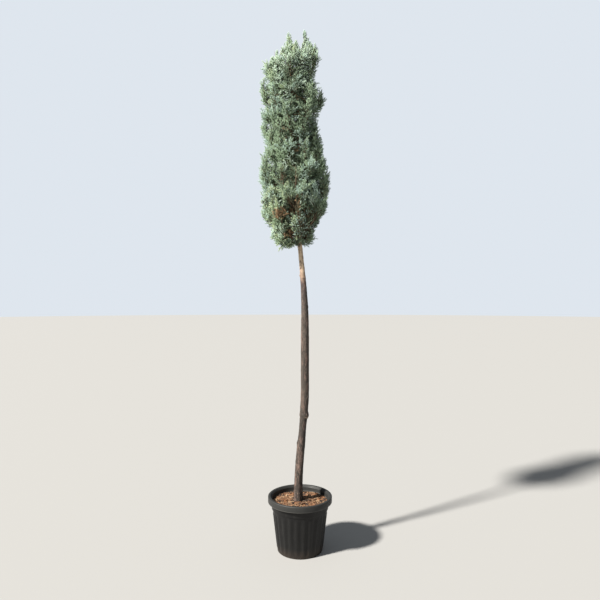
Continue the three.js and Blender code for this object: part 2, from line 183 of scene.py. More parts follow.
def addNode(tree, kind, **inputs):
    node = tree.nodes.new(kind)
    for name, value in inputs.items():
        plug(node.inputs[name.replace("_", " ")], value)
    return node


def objectPlace(tree):
    return tree.nodes.new("ShaderNodeTexCoord").outputs["Object"]


def heightOf(tree):
    return addNode(tree, "ShaderNodeSeparateXYZ", Vector=objectPlace(tree)).outputs["Z"]


# Object coordinates, stretched by a scale on each axis.
def stretched(tree, scale):
    node = addNode(tree, "ShaderNodeMapping", Vector=objectPlace(tree), Scale=scale)
    return node.outputs["Vector"]


def noise(tree, scale, detail=3.0, roughness=0.55, distortion=0.0, stretch=(1, 1, 1)):
    node = addNode(tree, "ShaderNodeTexNoise", Vector=stretched(tree, stretch), Scale=scale,
                   Detail=detail, Roughness=roughness, Distortion=distortion)
    return node.outputs["Fac"]


# A colour ramp through (position, colour) stops.
def ramp(share, stops):
    node = addNode(share.id_data, "ShaderNodeValToRGB", Fac=share)
    elements = node.color_ramp.elements
    while len(elements) < len(stops):
        elements.new(0.5)
    for element, (position, colour) in zip(elements, stops):
        element.position = position
        element.color = colour
    return node.outputs["Color"]


def between(value, low, high, newLow=0.0, newHigh=1.0):
    node = addNode(value.id_data, "ShaderNodeMapRange", Value=value, From_Min=low, From_Max=high,
                   To_Min=newLow, To_Max=newHigh)
    return node.outputs["Result"]


def maths(operation, *values):
    tree = next(value.id_data for value in values if isinstance(value, bpy.types.NodeSocket))
    node = tree.nodes.new("ShaderNodeMath")
    node.operation = operation
    for socket, value in zip(node.inputs, values):
        plug(socket, value)
    return node.outputs[0]


def times(first, second):
    return maths("MULTIPLY", first, second)


# Each layer's colour over the ones before it, by its share.
def layered(coloured, layers):
    for share, colour in layers:
        node = share.id_data.nodes.new("ShaderNodeMix")
        node.data_type = "RGBA"
        for index, value in ((0, share), (6, coloured), (7, colour)):
            plug(node.inputs[index], value)
        coloured = node.outputs[2]
    return coloured


def bumpFrom(shader, height, strength, distance):
    node = addNode(shader.id_data, "ShaderNodeBump", Height=height, Strength=strength,
                   Distance=distance)
    plug(shader.inputs["Normal"], node.outputs["Normal"])


# From dark to light by a noise that also makes the relief.
def mottled(name, dark, light, look):
    material, tree, shader = newMaterial(name, look["roughness"])
    mottle = noise(tree, *look["noise"])
    low, high = look["stops"]
    plug(shader.inputs["Base Color"], ramp(mottle, [(low, dark), (high, light)]))
    if "worn" in look:  # roughness of the darker and the lighter places
        plug(shader.inputs["Roughness"], between(mottle, 0.2, 0.8, *look["worn"]))
    bumpFrom(shader, mottle, *look["relief"])
    return material


# sRGB 0 to 255 as the linear colour that a socket takes.
def paint(*levels):
    shares = [level / 255 for level in levels]
    return *(c / 12.92 if c <= 0.04045 else ((c + 0.055) / 1.055) ** 2.4 for c in shares), 1


setUpView()
print("camera and light")


# Pieces

def nodesNamed(start):
    return [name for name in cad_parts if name.startswith(start)]


def finish(piece, material, slot, *nodes):
    piece.data.materials.append(material)
    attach(piece, "root")
    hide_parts(*nodes)
    piece.select_set(False)
    print(piece.name, len(piece.data.polygons), "faces")


def meshFromArrays(name, points, triangles, smooth):
    mesh = bpy.data.meshes.new(name)
    mesh.vertices.add(len(points))
    mesh.vertices.foreach_set("co", points.astype(np.float32).ravel())
    mesh.loops.add(triangles.size)
    mesh.loops.foreach_set("vertex_index", triangles.astype(np.int32).ravel())
    mesh.polygons.add(len(triangles))
    mesh.polygons.foreach_set("loop_start", np.arange(0, triangles.size, 3, dtype=np.int32))
    mesh.polygons.foreach_set("use_smooth", np.full(len(triangles), smooth))
    mesh.update(calc_edges=True)
    piece = bpy.data.objects.new(name, mesh)
    bpy.context.collection.objects.link(piece)
    return piece


# Many small shapes with the same faces as one list of points and triangles.
def alike(points, faces):
    count, size = points.shape[:2]
    triangles = np.array(faces)[None] + size * np.arange(count)[:, None, None]
    return points.reshape(-1, 3), triangles.reshape(-1, 3)


# The corners of a ring round each centre, square to its direction.
def ringRound(centre, along, radius, corners):
    side, other = squareTo(along)
    turns = [corner * fullTurn / corners for corner in range(corners)]
    ring = [centre + radius * (side * math.cos(t) + other * math.sin(t)) for t in turns]
    return np.stack(ring, axis=1)


# The stem's line and thickness

stem = {
    "soil": 0.335,
    "top": 3.430,
    "baseRadius": 0.030,
    "neck": (1.400, 2.150, 0.0175),  # from, to, and the radius that the stem has above
    "tipRadius": 0.0045,
    "flare": 0.006,
    "flareHeight": 0.060,
    "waist": (0.850, 0.004, 0.075),  # height, depth and reach of the narrow place under the bend
    "startOffset": -0.012,
    "bends": ((0.400, 1.150, 0.047), (1.600, 2.800, -0.085)),  # from, to, and the way sideways
    "depthWave": (0.006, 0.420),  # its height and length
}


def stemPoint(z):
    z = np.asarray(z, float)
    x = stem["startOffset"] + np.zeros_like(z)
    for low, high, shift in stem["bends"]:
        x = x + shift * smoothStep(low, high, z)
    waveHeight, waveLength = stem["depthWave"]
    return np.stack([x, waveHeight * np.sin((z - stem["soil"]) / waveLength), z], axis=-1)


def stemRadius(z):
    neckFoot, neckTop, neckRadius = stem["neck"]
    waistZ, depth, reach = stem["waist"]
    below = (stem["baseRadius"] - neckRadius) * (1 - smoothStep(neckFoot, neckTop, z))
    share = np.maximum(0, (np.asarray(z, float) - neckTop) / (stem["top"] - neckTop))
    above = (neckRadius - stem["tipRadius"]) * share
    return neckRadius + below - above - depth * hump((z - waistZ) / reach)


def rootFlare(z):
    return stem["flare"] * np.exp(-np.maximum(z - stem["soil"], 0) / stem["flareHeight"])


# Distance from the stem's line, and the angle round it.
def aroundStem(points):
    offset = points - stemPoint(points[..., 2])
    x, y = offset[..., 0], offset[..., 1]
    return np.hypot(x, y), np.arctan2(y, x)


# The crown's outline and plan

crown = {
    "base": 2.140,
    "top": 3.600,
    "radius": 0.246,
    "widestAt": 0.25,  # shares of the crown's height
    "shoulder": 0.8,
    "narrowing": (0.31, 0.6),  # how much, and the power that it follows
    "boughs": 24,
    "firstAngle": 0.4,
    "lowestBough": 0.055,
    "boughless": 0.125,  # height without boughs, at both ends together
    "crowding": 1.12,
    "skirt": (0.060, 0.350),  # under and over the base, where the plumes begin to climb
    "tipZone": (0.120, 0.145),  # height and radius of the space under the top that is always free
    "seed": 4711,
}
# Angle, height, reach, spread and height range of each swelling or notch of the outline.
tufts = [
    (math.pi, 3.300, 0.050, 0.6, 0.060),
    (math.pi, 3.070, 0.028, 0.6, 0.080),
    (math.pi, 2.660, 0.040, 0.7, 0.080),
    (math.pi, 2.360, 0.045, 0.8, 0.065),
    (0.0, 3.310, -0.042, 0.5, 0.040),
    (0.0, 3.150, 0.026, 0.6, 0.080),
    (0.0, 2.995, -0.045, 0.5, 0.040),
    (0.0, 2.630, 0.022, 0.7, 0.100),
    (0.0, 2.285, -0.062, 0.9, 0.075),
    (-math.pi / 2, 3.080, 0.020, 0.6, 0.080),
    (-math.pi / 2, 2.830, -0.020, 0.6, 0.050),
    (math.pi / 2, 3.180, 0.022, 0.6, 0.090),
    (math.pi / 2, 2.450, 0.024, 0.8, 0.090),
]
# Finer swellings, which only the sprays follow.
fineTufts = [
    (0.0, 3.230, 0.050, 0.6, 0.045),
    (0.0, 2.870, 0.042, 0.6, 0.055),
    (0.0, 2.710, 0.046, 0.7, 0.075),
    (0.0, 2.590, 0.042, 0.7, 0.060),
    (math.pi, 3.420, 0.030, 0.6, 0.050),
    (math.pi, 3.305, 0.022, 0.5, 0.030),
    (math.pi, 3.010, 0.018, 0.6, 0.050),
]
plume = {
    "perBough": (4, 3),  # in the lower half, and in the upper
    "spread": 0.106,
    "turnVariety": 0.3,
    "forkShare": 0.3,  # shares of the crown's radius
    "seedShare": 0.64,
    "tipShare": 0.87,
    "tipVariety": (0.95, 0.1),
    "forkDrop": 0.035,
    "rootDrop": (0.35, 0.45),  # under the fork by its distance out, low in the crown and added above
    "highestTip": 3.515,
    "bend": (0.78, 0.3),  # shares of the way out and of the way up where the axis turns
    "fullLength": 0.190,  # a plume this long or longer is at its stoutest
    "vigour": (0.6, 0.4),  # length of the shoots on the slimmest, and what the stoutest adds
}
# The leader's own plumes: distance under the crown's top, angle, and distance from the stem.
leaderPlumes = [
    (0.068, 2.8, 0.030),
    (0.070, 0.2, 0.074),
    (0.104, -1.7, 0.058),
]
leaderFork, leaderSeed = 0.025, 0.070  # over the stem's top, and under the crown's
# Tips of the plumes that make the top's points.
topPoints = [
    (-0.079, -0.020, 3.616),
    (0.034, 0.006, 3.640),
    (0.070, -0.010, 3.550),
    (0.106, -0.030, 3.530),
    (-0.162, 0.000, 3.496),
    (-0.030, -0.100, 3.520),
    (-0.030, 0.100, 3.540),
    (0.070, 0.085, 3.490),
    (-0.125, 0.085, 3.480),
    (-0.118, -0.085, 3.490),
    (0.040, -0.095, 3.495),
    (-0.192, -0.020, 3.450),
]
pointWidth = (0.004, 0.50)  # radius of a point's plume at its tip, and its growth per metre below
pointsFrom = 3.420  # above this height only the points' plumes are left
# Tips of plumes that stand out sideways.
strays = [
    (-0.262, -0.030, 3.258),
    (-0.232, 0.010, 3.062),
]
strayWidth = 0.55  # length of a stray's shoots, against another plume's
# Tips of the lowest plumes, which hang round the stem's top.
hanging = [
    (-0.168, -0.050, 2.196),
    (-0.118, -0.096, 2.156),
    (-0.062, -0.060, 2.138),
    (-0.140, 0.060, 2.180),
    (-0.070, 0.100, 2.156),
    (0.058, -0.040, 2.186),
    (0.050, 0.080, 2.176),
]
extra = {
    "joins": np.linspace(0.2, 0.9, 12),  # shares of the other axes where an extra one may leave
    "risingFrom": -0.15,  # below its tip
    "hangingFrom": (0.45, 0.05),  # share of the way to the stem, and above the tip
    "sag": -0.1,
}
cell = {"margin": -0.012, "stemMargin": 0.004}


def swollen(radius, z, angle, swellings):
    for swellingAngle, swellingZ, reach, spread, height in swellings:
        across = (1 - np.cos(angle - swellingAngle)) / spread ** 2
        radius = radius + reach * np.exp(-across - ((z - swellingZ) / height) ** 2 / 2)
    return radius


def crownRadius(z, angle):
    z, angle = np.broadcast_arrays(np.asarray(z, float), np.asarray(angle, float))
    t = (z - crown["base"]) / (crown["top"] - crown["base"])
    inside = (t > 0) & (t < 1)
    t = np.clip(t, 1e-6, 1 - 1e-6)
    widestAt, shoulder = crown["widestAt"], crown["shoulder"]
    narrowing, power = crown["narrowing"]
    under = np.sqrt(1 - (1 - np.minimum(t / widestAt, 1)) ** 2)
    taper = 1 - narrowing * (np.maximum(t - widestAt, 0) / (1 - widestAt)) ** power
    roundTop = np.sqrt(1 - (np.maximum(t - shoulder, 0) / (1 - shoulder)) ** 4)
    radius = swollen(crown["radius"] * under * taper * roundTop, z, angle, tufts)
    return np.where(inside, np.maximum(radius, 0), 0)


# The limit of the sprays.
def outline(z, angle):
    return swollen(crownRadius(z, angle), z, angle, fineTufts)


# True for what is below the points' level, or in the plume of one of them.
def underPoints(places, slack=0.0):
    allowed = places[:, 2] < pointsFrom
    for x, y, z in topPoints:
        below = z + slack - places[:, 2]
        away = np.hypot(places[:, 0] - x, places[:, 1] - y)
        allowed |= (below > 0) & (away < graded(pointWidth, below))
    return allowed


def climb(z):
    under, over = crown["skirt"]
    return smoothStep(crown["base"] - under, crown["base"] + over, z)


def crownPoint(z, angle, distance):
    return stemPoint(z) + distance * np.array([math.cos(angle), math.sin(angle), 0.0])


# Space measured on surfaces that climb outwards, as the plumes do.
def levelled(points):
    flat = np.array(points, float)
    flat[..., 2] -= climb(points[..., 2]) * aroundStem(points)[0]
    return flat


def plumeTips(z, angle, radius, firstTurn, draw):
    lower, upper = plume["perBough"]
    count = lower if z < (crown["base"] + crown["top"]) / 2 else upper
    tips = []
    for i in range(count):
        turn = firstTurn + ((i + plume["turnVariety"] * draw()) / count) * fullTurn
        tipZ = min(z + plume["spread"] * math.sin(turn), plume["highestTip"])
        tipAngle = angle + plume["spread"] * math.cos(turn) / radius
        reach = float(crownRadius(tipZ, tipAngle)) * plume["tipShare"]
        tips.append(crownPoint(tipZ, tipAngle, reach * graded(plume["tipVariety"], draw())))
    return tips


# Each bough's root on the stem, its fork, the middle of its foliage and its plumes' tips.
def layOutCrown():
    draw = makeRandom(crown["seed"])
    plan = []
    height = crown["top"] - crown["base"] - crown["boughless"]
    forkShare, seedShare, tipShare = plume["forkShare"], plume["seedShare"], plume["tipShare"]
    for i in range(crown["boughs"]):
        share = (i + 0.5) / crown["boughs"]
        z = crown["base"] + crown["lowestBough"] + height * share ** crown["crowding"]
        angle = crown["firstAngle"] + i * goldenAngle
        radius = float(crownRadius(z, angle))
        lean = float(climb(z))
        forkZ = z - lean * (tipShare - forkShare) * radius - plume["forkDrop"] * lean
        rootZ = forkZ - graded(plume["rootDrop"], lean) * forkShare * radius
        seedZ = z - lean * (tipShare - seedShare) * radius
        plan.append({
            "fork": crownPoint(forkZ, angle, forkShare * radius),
            "root": crownPoint(rootZ, angle, 0),
            "seed": levelled(crownPoint(seedZ, angle, seedShare * radius)),
            "tips": plumeTips(z, angle, radius, i, draw),
        })
    plan.append({
        "fork": stemPoint(stem["top"] + leaderFork),
        "seed": levelled(crownPoint(crown["top"] - leaderSeed, 0, 0)),
        "tips": [crownPoint(crown["top"] - below, angle, out) for below, angle, out in leaderPlumes],
    })
    return plan


plan = layOutCrown()
seeds = np.array([bough["seed"] for bough in plan])


def seedDistances(points):
    return np.linalg.norm(levelled(points)[:, None, :] - seeds[None, :, :], axis=2)


# How far each point lies inside its own bough's space.
def roomOf(points, owners):
    away = seedDistances(points)
    rows = np.arange(len(points))
    mine = away[rows, owners].copy()
    away[rows, owners] = np.inf
    return (away.min(axis=1) - mine) / 2


def clearOfStem(points):
    z, margin = points[:, 2], cell["stemMargin"]
    return (z > stem["top"] + margin) | (aroundStem(points)[0] > stemRadius(z) + margin)


def fits(points, owners, margin, outerShare):
    z = points[:, 2]
    out, angle = aroundStem(points)
    zoneHeight, zoneRadius = crown["tipZone"]
    free = out < outerShare * outline(z, angle)
    free |= (z > crown["top"] - zoneHeight) & (out < zoneRadius)
    return free & underPoints(points) & clearOfStem(points) & (roomOf(points, owners) > margin)


# Foliage: every plume's axis carries shoots, every shoot carries sprays, and every spray carries
# short tips. The shoots keep to their bough's own space. A curve is three points: first, middle
# and last. In the pairs below, the second number is what chance, or the way along, adds at most.

def chosenFrom(table, rows):
    return {key: value[rows] for key, value in table.items()}


def joined(*tables):
    return {key: np.concatenate([table[key] for table in tables]) for key in tables[0]}


# Points and directions on the table's curves.
def onCurve(curves, t):
    first, middle, last = curves["first"], curves["middle"], curves["last"]
    t = np.asarray(t)[..., None]
    point = (1 - t) ** 2 * first + 2 * t * (1 - t) * middle + t ** 2 * last
    along = 2 * (1 - t) * (middle - first) + 2 * t * (last - middle)
    return point, unit(along)


def axisTable(rows):
    return dict(zip(("first", "middle", "last", "owner"), map(np.array, zip(*rows))))


def plumeAxes():
    rows = []
    outShare, upShare = plume["bend"]
    for index, bough in enumerate(plan):
        fork = bough["fork"]
        for tip in bough["tips"]:
            bend = fork + outShare * (tip - fork)
            bend[2] = fork[2] + upShare * (tip[2] - fork[2])
            rows.append((fork, bend, tip, index))
    return axisTable(rows)


# A plume of its own for each point of the top, stray and hanging tip. It leaves the nearest plume,
# from below where it rises, and otherwise from further in.
def extraAxes(axes):
    line = np.concatenate([onCurve(axes, t)[0] for t in extra["joins"]])
    lineOwner = np.tile(axes["owner"], len(extra["joins"]))
    inwards, above = extra["hangingFrom"]
    rows = []
    for place in topPoints + strays + hanging:
        tip = np.array(place)
        if place in hanging:
            wanted, sag = tip + (inwards * (stemPoint(tip[2]) - tip) + above * up), 0.0
        else:
            wanted, sag = tip + extra["risingFrom"] * up, extra["sag"]
        best = np.linalg.norm(line - wanted, axis=1).argmin()
        start = line[best]
        rows.append((start, (start + tip) / 2 + (tip - start)[2] * sag * up, tip, lineOwner[best]))
    return axisTable(rows)


axes = plumeAxes()
ruledAxes = len(axes["owner"])  # the axes after these are extra
axes = joined(axes, extraAxes(axes))
axisLength = np.linalg.norm(axes["last"] - axes["first"], axis=1)
axes["stout"] = np.minimum(1, axisLength / plume["fullLength"])
axes["vigour"] = graded(plume["vigour"], axes["stout"])
axes["width"] = np.ones(len(axes["owner"]))
axes["width"][ruledAxes + len(topPoints):][:len(strays)] = strayWidth

shootRule = {
    "count": 30,  # on each plume
    "from": 0.05,  # share of the plume's axis
    "places": (0.4, 0.3),
    "turns": (1.7, 0.5),  # from plume to plume, and by chance
    "turnedBack": -0.35,  # a shoot that points further inwards is turned over
    "length": 0.094,
    "lengths": (0.72, 0.5),
    "shortening": (1.15, -0.72),  # at the foot of the axis, and what its tip adds
    "angle": 0.95,
    "narrowing": (1.12, -0.62),
    "rise": 0.22,
    "lift": 0.22,
    "bendAt": 0.55,
    "vigour": (0.75, 0.5),  # of a plume
    "outerShare": 0.98,
    "ragged": (0.87, 0.17),  # how much further in or out each plume ends
    "raggedShoots": (0.96, 0.08),
    "cuts": (1, 0.8, 0.62, 0.46, 0.34),  # a shoot that doesn't fit is tried shorter
}
leaderRule = {
    "count": 3,  # on each plume, the shoots that go on from its tip
    "from": 0.8,
    "headingAt": 0.95,
    "rise": 0.3,
    "wander": 0.22,
    "length": 0.095,
    "lengths": (0.7, 0.45),
    "sag": 0.06,
    "outerShare": 1.06,
    "extraShare": 0.5,  # of the length, on an extra axis
    "slack": 0.026,  # how far leaders and sprays may pass the top's points
}
endRule = {"from": 0.6, "bendAt": 0.8}  # on the extra axes, whose ends carry sprays of their own
fillRule = {
    "spacings": (0.0335, 0.0285),  # out in the crown, and in its denser core
    "coreShare": 0.5,  # of the crown's radius
    "takenAt": (0.45, 0.6, 0.75, 0.9, 1.0),  # shares of a shoot that fill its surroundings
    "tries": 60000,
    "shares": (0.15, 0.82),  # how far out the shoots end
    "margin": -0.004,
    "top": 3.450,
    "steps": 15,
    "steepness": (0.35, 0.9),  # the wanted rise per length, and the price of less
    "lengths": (0.020, 0.200),
    "sag": 0.16,
}


def shootTable(first, middle, last, length, which):
    return {"first": first, "middle": middle, "last": last, "length": length, "plume": which}


def growShoots(rng):
    plumes, count, start = len(axes["owner"]), shootRule["count"], shootRule["from"]
    which = np.repeat(np.arange(plumes), count)
    order = np.tile(np.arange(count), plumes)
    size = len(order)
    axis = chosenFrom(axes, which)
    share = start + (1 - start) * (order + varied(rng, shootRule["places"], size)) / count
    root, along = onCurve(axis, np.minimum(share, 1))
    perPlume, byChance = shootRule["turns"]
    outward = roundAbout(along, order * goldenAngle + which * perPlume + byChance * rng.random(size))
    away = unit((root - stemPoint(root[:, 2])) * (1, 1, 0))
    outward[(outward * away).sum(axis=1) < shootRule["turnedBack"]] *= -1
    heading = leanedOut(along, outward, shootRule["angle"] * graded(shootRule["narrowing"], share))
    heading = unit(heading + shootRule["rise"] * up)
    vigour = varied(rng, shootRule["vigour"], plumes)[which]
    length = shootRule["length"] * varied(rng, shootRule["lengths"], size) * vigour
    length *= axis["vigour"] * graded(shootRule["shortening"], share) * axis["width"]
    outer = shootRule["outerShare"] * varied(rng, shootRule["ragged"], plumes)[which]
    outer *= varied(rng, shootRule["raggedShoots"], size)

    def grown(lengths):
        reach = lengths[:, None]
        bend = root + heading * reach * shootRule["bendAt"]
        tip = root + heading * reach + up * reach * shootRule["lift"]
        return shootTable(root, bend, tip, lengths, which)

    kept = np.zeros(size, bool)
    scale = np.ones(size)
    for cut in shootRule["cuts"]:
        shoots = grown(length * cut)
        tip = shoots["last"]
        middle, _ = onCurve(shoots, shootRule["bendAt"])
        good = fits(tip, axis["owner"], cell["margin"], outer)
        good &= fits(middle, axis["owner"], cell["margin"], outer)
        good |= (which >= ruledAxes) & clearOfStem(tip) & underPoints(tip)
        scale[good & ~kept] = cut
        kept |= good
    return chosenFrom(grown(length * scale), kept)


def growLeaders(rng):
    which = np.repeat(np.arange(len(axes["owner"])), leaderRule["count"])
    isExtra = which >= ruledAxes
    axis = chosenFrom(axes, which)
    root, _ = onCurve(axis, leaderRule["from"])
    _, along = onCurve(axis, leaderRule["headingAt"])
    wander = leaderRule["wander"] * rng.normal(size=root.shape)
    heading = unit(along + leaderRule["rise"] * up + wander)
    length = leaderRule["length"] * varied(rng, leaderRule["lengths"], len(which))
    length *= axis["vigour"] * np.where(isExtra, leaderRule["extraShare"], 1)
    reach = length[:, None]
    middle = root + 0.5 * heading * reach - leaderRule["sag"] * reach * up
    tip = root + heading * reach
    kept = fits(tip, axis["owner"], cell["margin"], leaderRule["outerShare"])
    kept |= isExtra & clearOfStem(tip) & underPoints(tip, leaderRule["slack"])
    return chosenFrom(shootTable(root, middle, tip, length, which), kept)


def axisEnds():
    which = np.arange(ruledAxes, len(axes["owner"]))
    axis = chosenFrom(axes, which)
    root, _ = onCurve(axis, endRule["from"])
    middle, _ = onCurve(axis, endRule["bendAt"])
    length = np.linalg.norm(axis["last"] - root, axis=1)
    return shootTable(root, middle, axis["last"], length, which)


# Targets in the crown, at least a spacing apart, that the shoots leave empty.
def emptyPlaces(shoots, rng):
    spacings, (least, most) = fillRule["spacings"], fillRule["shares"]
    taken = set(), set()
    for share in fillRule["takenAt"]:
        point, _ = onCurve(shoots, share)
        for places, spacing in zip(taken, spacings):
            places.update(map(tuple, np.floor(point / spacing).astype(int)))
    count = fillRule["tries"]
    z = crown["base"] + (crown["top"] - crown["base"]) * rng.random(count)
    angle = rng.random(count) * fullTurn
    share = np.sqrt(least ** 2 + (most ** 2 - least ** 2) * rng.random(count))
    out = (share * outline(z, angle))[:, None]
    target = stemPoint(z) + out * np.stack([np.cos(angle), np.sin(angle), 0 * z], axis=1)
    owner = seedDistances(target).argmin(axis=1)
    core = (share < fillRule["coreShare"]).astype(int)
    chosen = []
    for row in np.flatnonzero(fits(target, owner, fillRule["margin"], 1.0) & (z < fillRule["top"])):
        places, spacing = taken[core[row]], spacings[core[row]]
        place = tuple(np.floor(target[row] / spacing).astype(int))
        if place not in places:
            places.add(place)
            chosen.append(row)
    return target[chosen], owner[chosen]


# More shoots, each from the axis of its bough that reaches its target most easily.
def fillGaps(shoots, rng):
    target, owner = emptyPlaces(shoots, rng)
    steps = np.linspace(0.0, 1.0, fillRule["steps"])
    wantedRise, price = fillRule["steepness"]
    first, lowest = np.empty_like(target), np.full(len(target), np.inf)
    which = np.zeros(len(target), int)
    for k, axisOwner in enumerate(axes["owner"]):
        mine = np.flatnonzero(owner == axisOwner)
        line, _ = onCurve(chosenFrom(axes, k), steps)
        gap = target[mine][:, None] - line[None]
        away = np.linalg.norm(gap, axis=2)
        # a root below the target costs less than one above it
        cost = away + price * np.maximum(0, wantedRise * away - gap[..., 2])
        best = cost.argmin(axis=1)
        cost = cost[np.arange(len(mine)), best]
        better = cost < lowest[mine]
        first[mine[better]] = line[best[better]]
        lowest[mine[better]] = cost[better]
        which[mine[better]] = k
    length = np.linalg.norm(target - first, axis=1)
    middle = (first + target) / 2 - up * (fillRule["sag"] * length)[:, None]
    more = shootTable(first, middle, target, length, which)
    shortest, longest = fillRule["lengths"]
    more = chosenFrom(more, (length < longest) & (length > shortest))
    print(len(shoots["length"]), "shoots by rule,", len(more["length"]), "more to fill the crown")
    return joined(shoots, more)


sprayRule = {
    "leafy": (0.82, 0.110),  # share and length of a shoot, from its tip, that carries sprays
    "every": 0.0082,
    "fewest": 3,
    "places": (0.3, 0.4),
    "turns": (2.3, 0.4),
    "angle": 0.95,
    "narrowing": (1.1, -0.75),
    "angleVariety": 0.12,
    "rise": (0.1, 0.8),  # everywhere, and added at the top
    "topLevels": (3.36, 3.50),
    "length": 0.038,
    "lengths": (0.75, 0.5),
    "shortening": (1.1, -0.55),
    "onShort": (1, 0.45, 0.16),  # length factor: most, least, and the shoot's length that adds 1
    "radius": 0.0018,
    "proud": np.array([0.018, 0.018, 0.070]),  # how far sprays may pass the solids' box
}
tipRule = {
    "count": 6,  # on each spray
    "from": (0.16, 0.8),  # share of the spray, and what the last tip adds
    "places": (0.0, 0.5),
    "turns": (1.1, 0),
    "angle": 0.52,
    "narrowing": (1, 0),
    "angleVariety": 0.12,
    "length": 0.0155,
    "lengths": (0.75, 0.5),
    "shortening": (1.2, -0.5),
    "onShort": (1.1, 0.4, 0.06),
    "radius": 0.0018,
}


# Directions and lengths of what branches off shoots or sprays, by its rule.
def branchOff(rule, along, order, which, share, lengths, rng):
    size = len(order)
    perParent, byChance = rule["turns"]
    turn = order * goldenAngle + which * perParent
    if byChance:
        turn = turn + byChance * rng.random(size)
    angle = rule["angle"] * graded(rule["narrowing"], share)
    angle += rule["angleVariety"] * rng.normal(size=size)
    length = rule["length"] * varied(rng, rule["lengths"], size) * graded(rule["shortening"], share)
    most, least, full = rule["onShort"]
    length *= np.minimum(most, least + lengths[which] / full)
    return leanedOut(along, roundAbout(along, turn), angle), length


# Sprays all round each shoot.
def growSprays(shoots, rng):
    leafyShare, leafyLength = sprayRule["leafy"]
    leafy = np.minimum(leafyShare * shoots["length"], leafyLength)
    count = np.maximum(sprayRule["fewest"], np.round(leafy / sprayRule["every"])).astype(int)
    which = np.repeat(np.arange(len(count)), count)
    order = np.concatenate([np.arange(n) for n in count])
    start = 1 - (leafy / shoots["length"])[which]
    place = order + varied(rng, sprayRule["places"], len(order))
    share = np.minimum(start + (1 - start) * place / count[which], 1)
    root, along = onCurve(chosenFrom(shoots, which), share)
    heading, length = branchOff(sprayRule, along, order, which, share, shoots["length"], rng)
    heading[:, 2] += graded(sprayRule["rise"], smoothStep(*sprayRule["topLevels"], root[:, 2]))
    heading = unit(heading)
    tip = root + heading * length[:, None]
    low, high = np.array(cadBox[0]) - sprayRule["proud"], np.array(cadBox[1]) + sprayRule["proud"]
    inside = ((tip > low) & (tip < high)).all(axis=1) & underPoints(tip, leaderRule["slack"])
    sprays = {"first": root, "last": tip, "heading": heading, "length": length, "share": share,
              "shoot": which}
    return chosenFrom(sprays, inside)


def growTips(sprays, rng):
    count, sprayCount = tipRule["count"], len(sprays["length"])
    which = np.repeat(np.arange(sprayCount), count)
    order = np.tile(np.arange(count), sprayCount)
    share = graded(tipRule["from"], (order + varied(rng, tipRule["places"], len(order))) / count)
    root = sprays["first"][which] + (sprays["last"] - sprays["first"])[which] * share[:, None]
    along = sprays["heading"][which]
    heading, length = branchOff(tipRule, along, order, which, share, sprays["length"], rng)
    return {"first": root, "last": root + heading * length[:, None], "spray": which}


# Three-sided spindles, closed at both ends and thickest a little before their middle.
def spindles(first, last, radius):
    waist = ringRound(first + 0.42 * (last - first), unit(last - first), radius, 3)
    points = np.concatenate([first[:, None], waist, last[:, None]], axis=1)
    return alike(points, [[0, 2, 1], [0, 3, 2], [0, 1, 3], [4, 1, 2], [4, 2, 3], [4, 3, 1]])


# Three-sided spikes, closed at the foot.
def spikes(first, last, radius):
    foot = ringRound(first, unit(last - first), radius, 3)
    points = np.concatenate([foot, last[:, None]], axis=1)
    return alike(points, [[0, 2, 1], [0, 1, 3], [1, 2, 3], [2, 0, 3]])


tints = {
    "paleSpray": paint(180, 199, 180),
    "blueSpray": paint(160, 183, 168),
    "greenSpray": paint(146, 167, 138),
    "youngSpray": paint(168, 184, 148),
    # painted shade: this darker tint stands in for the shade inside the crown and round its hollows
    "paintedShadeSpray": paint(102, 120, 98),
    "brownSpray": paint(150, 122, 92),
}
pale, blue, green, young, paintedShade, brown = range(len(tints))
# Middle and radius of the patches of dead brown sprays, and of the clumps that stand out pale.
dryPatches = [
    ((-0.172, -0.175, 2.342), 0.036),
    ((-0.118, -0.205, 2.350), 0.034),
    ((-0.048, -0.200, 2.405), 0.050),
    ((-0.080, -0.115, 2.208), 0.034),
]
paleClumps = [
    ((-0.062, -0.180, 2.295), 0.036),
    ((-0.125, -0.160, 2.422), 0.032),
    ((0.093, -0.180, 2.445), 0.050),
    ((-0.154, -0.100, 2.226), 0.050),
    ((-0.042, -0.100, 2.172), 0.032),
    ((-0.093, -0.180, 2.680), 0.042),
    ((0.196, -0.080, 2.525), 0.050),
]
# Middle and radius of the hollows between plumes: their shoots are left out, and the shoots round
# them get the painted shade tint.
hollows = [
    ((-0.064, -0.170, 3.286), 0.045),
    ((0.000, -0.180, 3.138), 0.040),
    ((0.083, -0.170, 2.945), 0.045),
    ((0.013, -0.190, 2.788), 0.034),
    ((-0.045, -0.205, 2.684), 0.038),
    ((-0.128, -0.200, 2.590), 0.044),
    ((-0.040, -0.222, 2.572), 0.044),
    ((0.125, -0.175, 2.610), 0.036),
]
# Middle and radius of the places where twigs show, and the share of sprays that is gone there.
barePatches = [
    ((-0.055, -0.225, 2.400), 0.060, 0.95),
    ((-0.012, -0.215, 2.362), 0.046, 0.85),
    ((0.065, -0.170, 2.300), 0.080, 0.72),
    ((0.100, -0.060, 2.220), 0.075, 0.70),
    ((0.160, -0.110, 2.320), 0.062, 0.70),
    ((-0.020, -0.150, 2.270), 0.040, 0.6),
    ((-0.130, -0.215, 2.590), 0.036, 0.9),
    ((-0.038, -0.240, 2.568), 0.036, 0.9),
    ((0.128, -0.195, 2.605), 0.032, 0.9),
    ((-0.064, -0.185, 3.280), 0.030, 0.8),
]
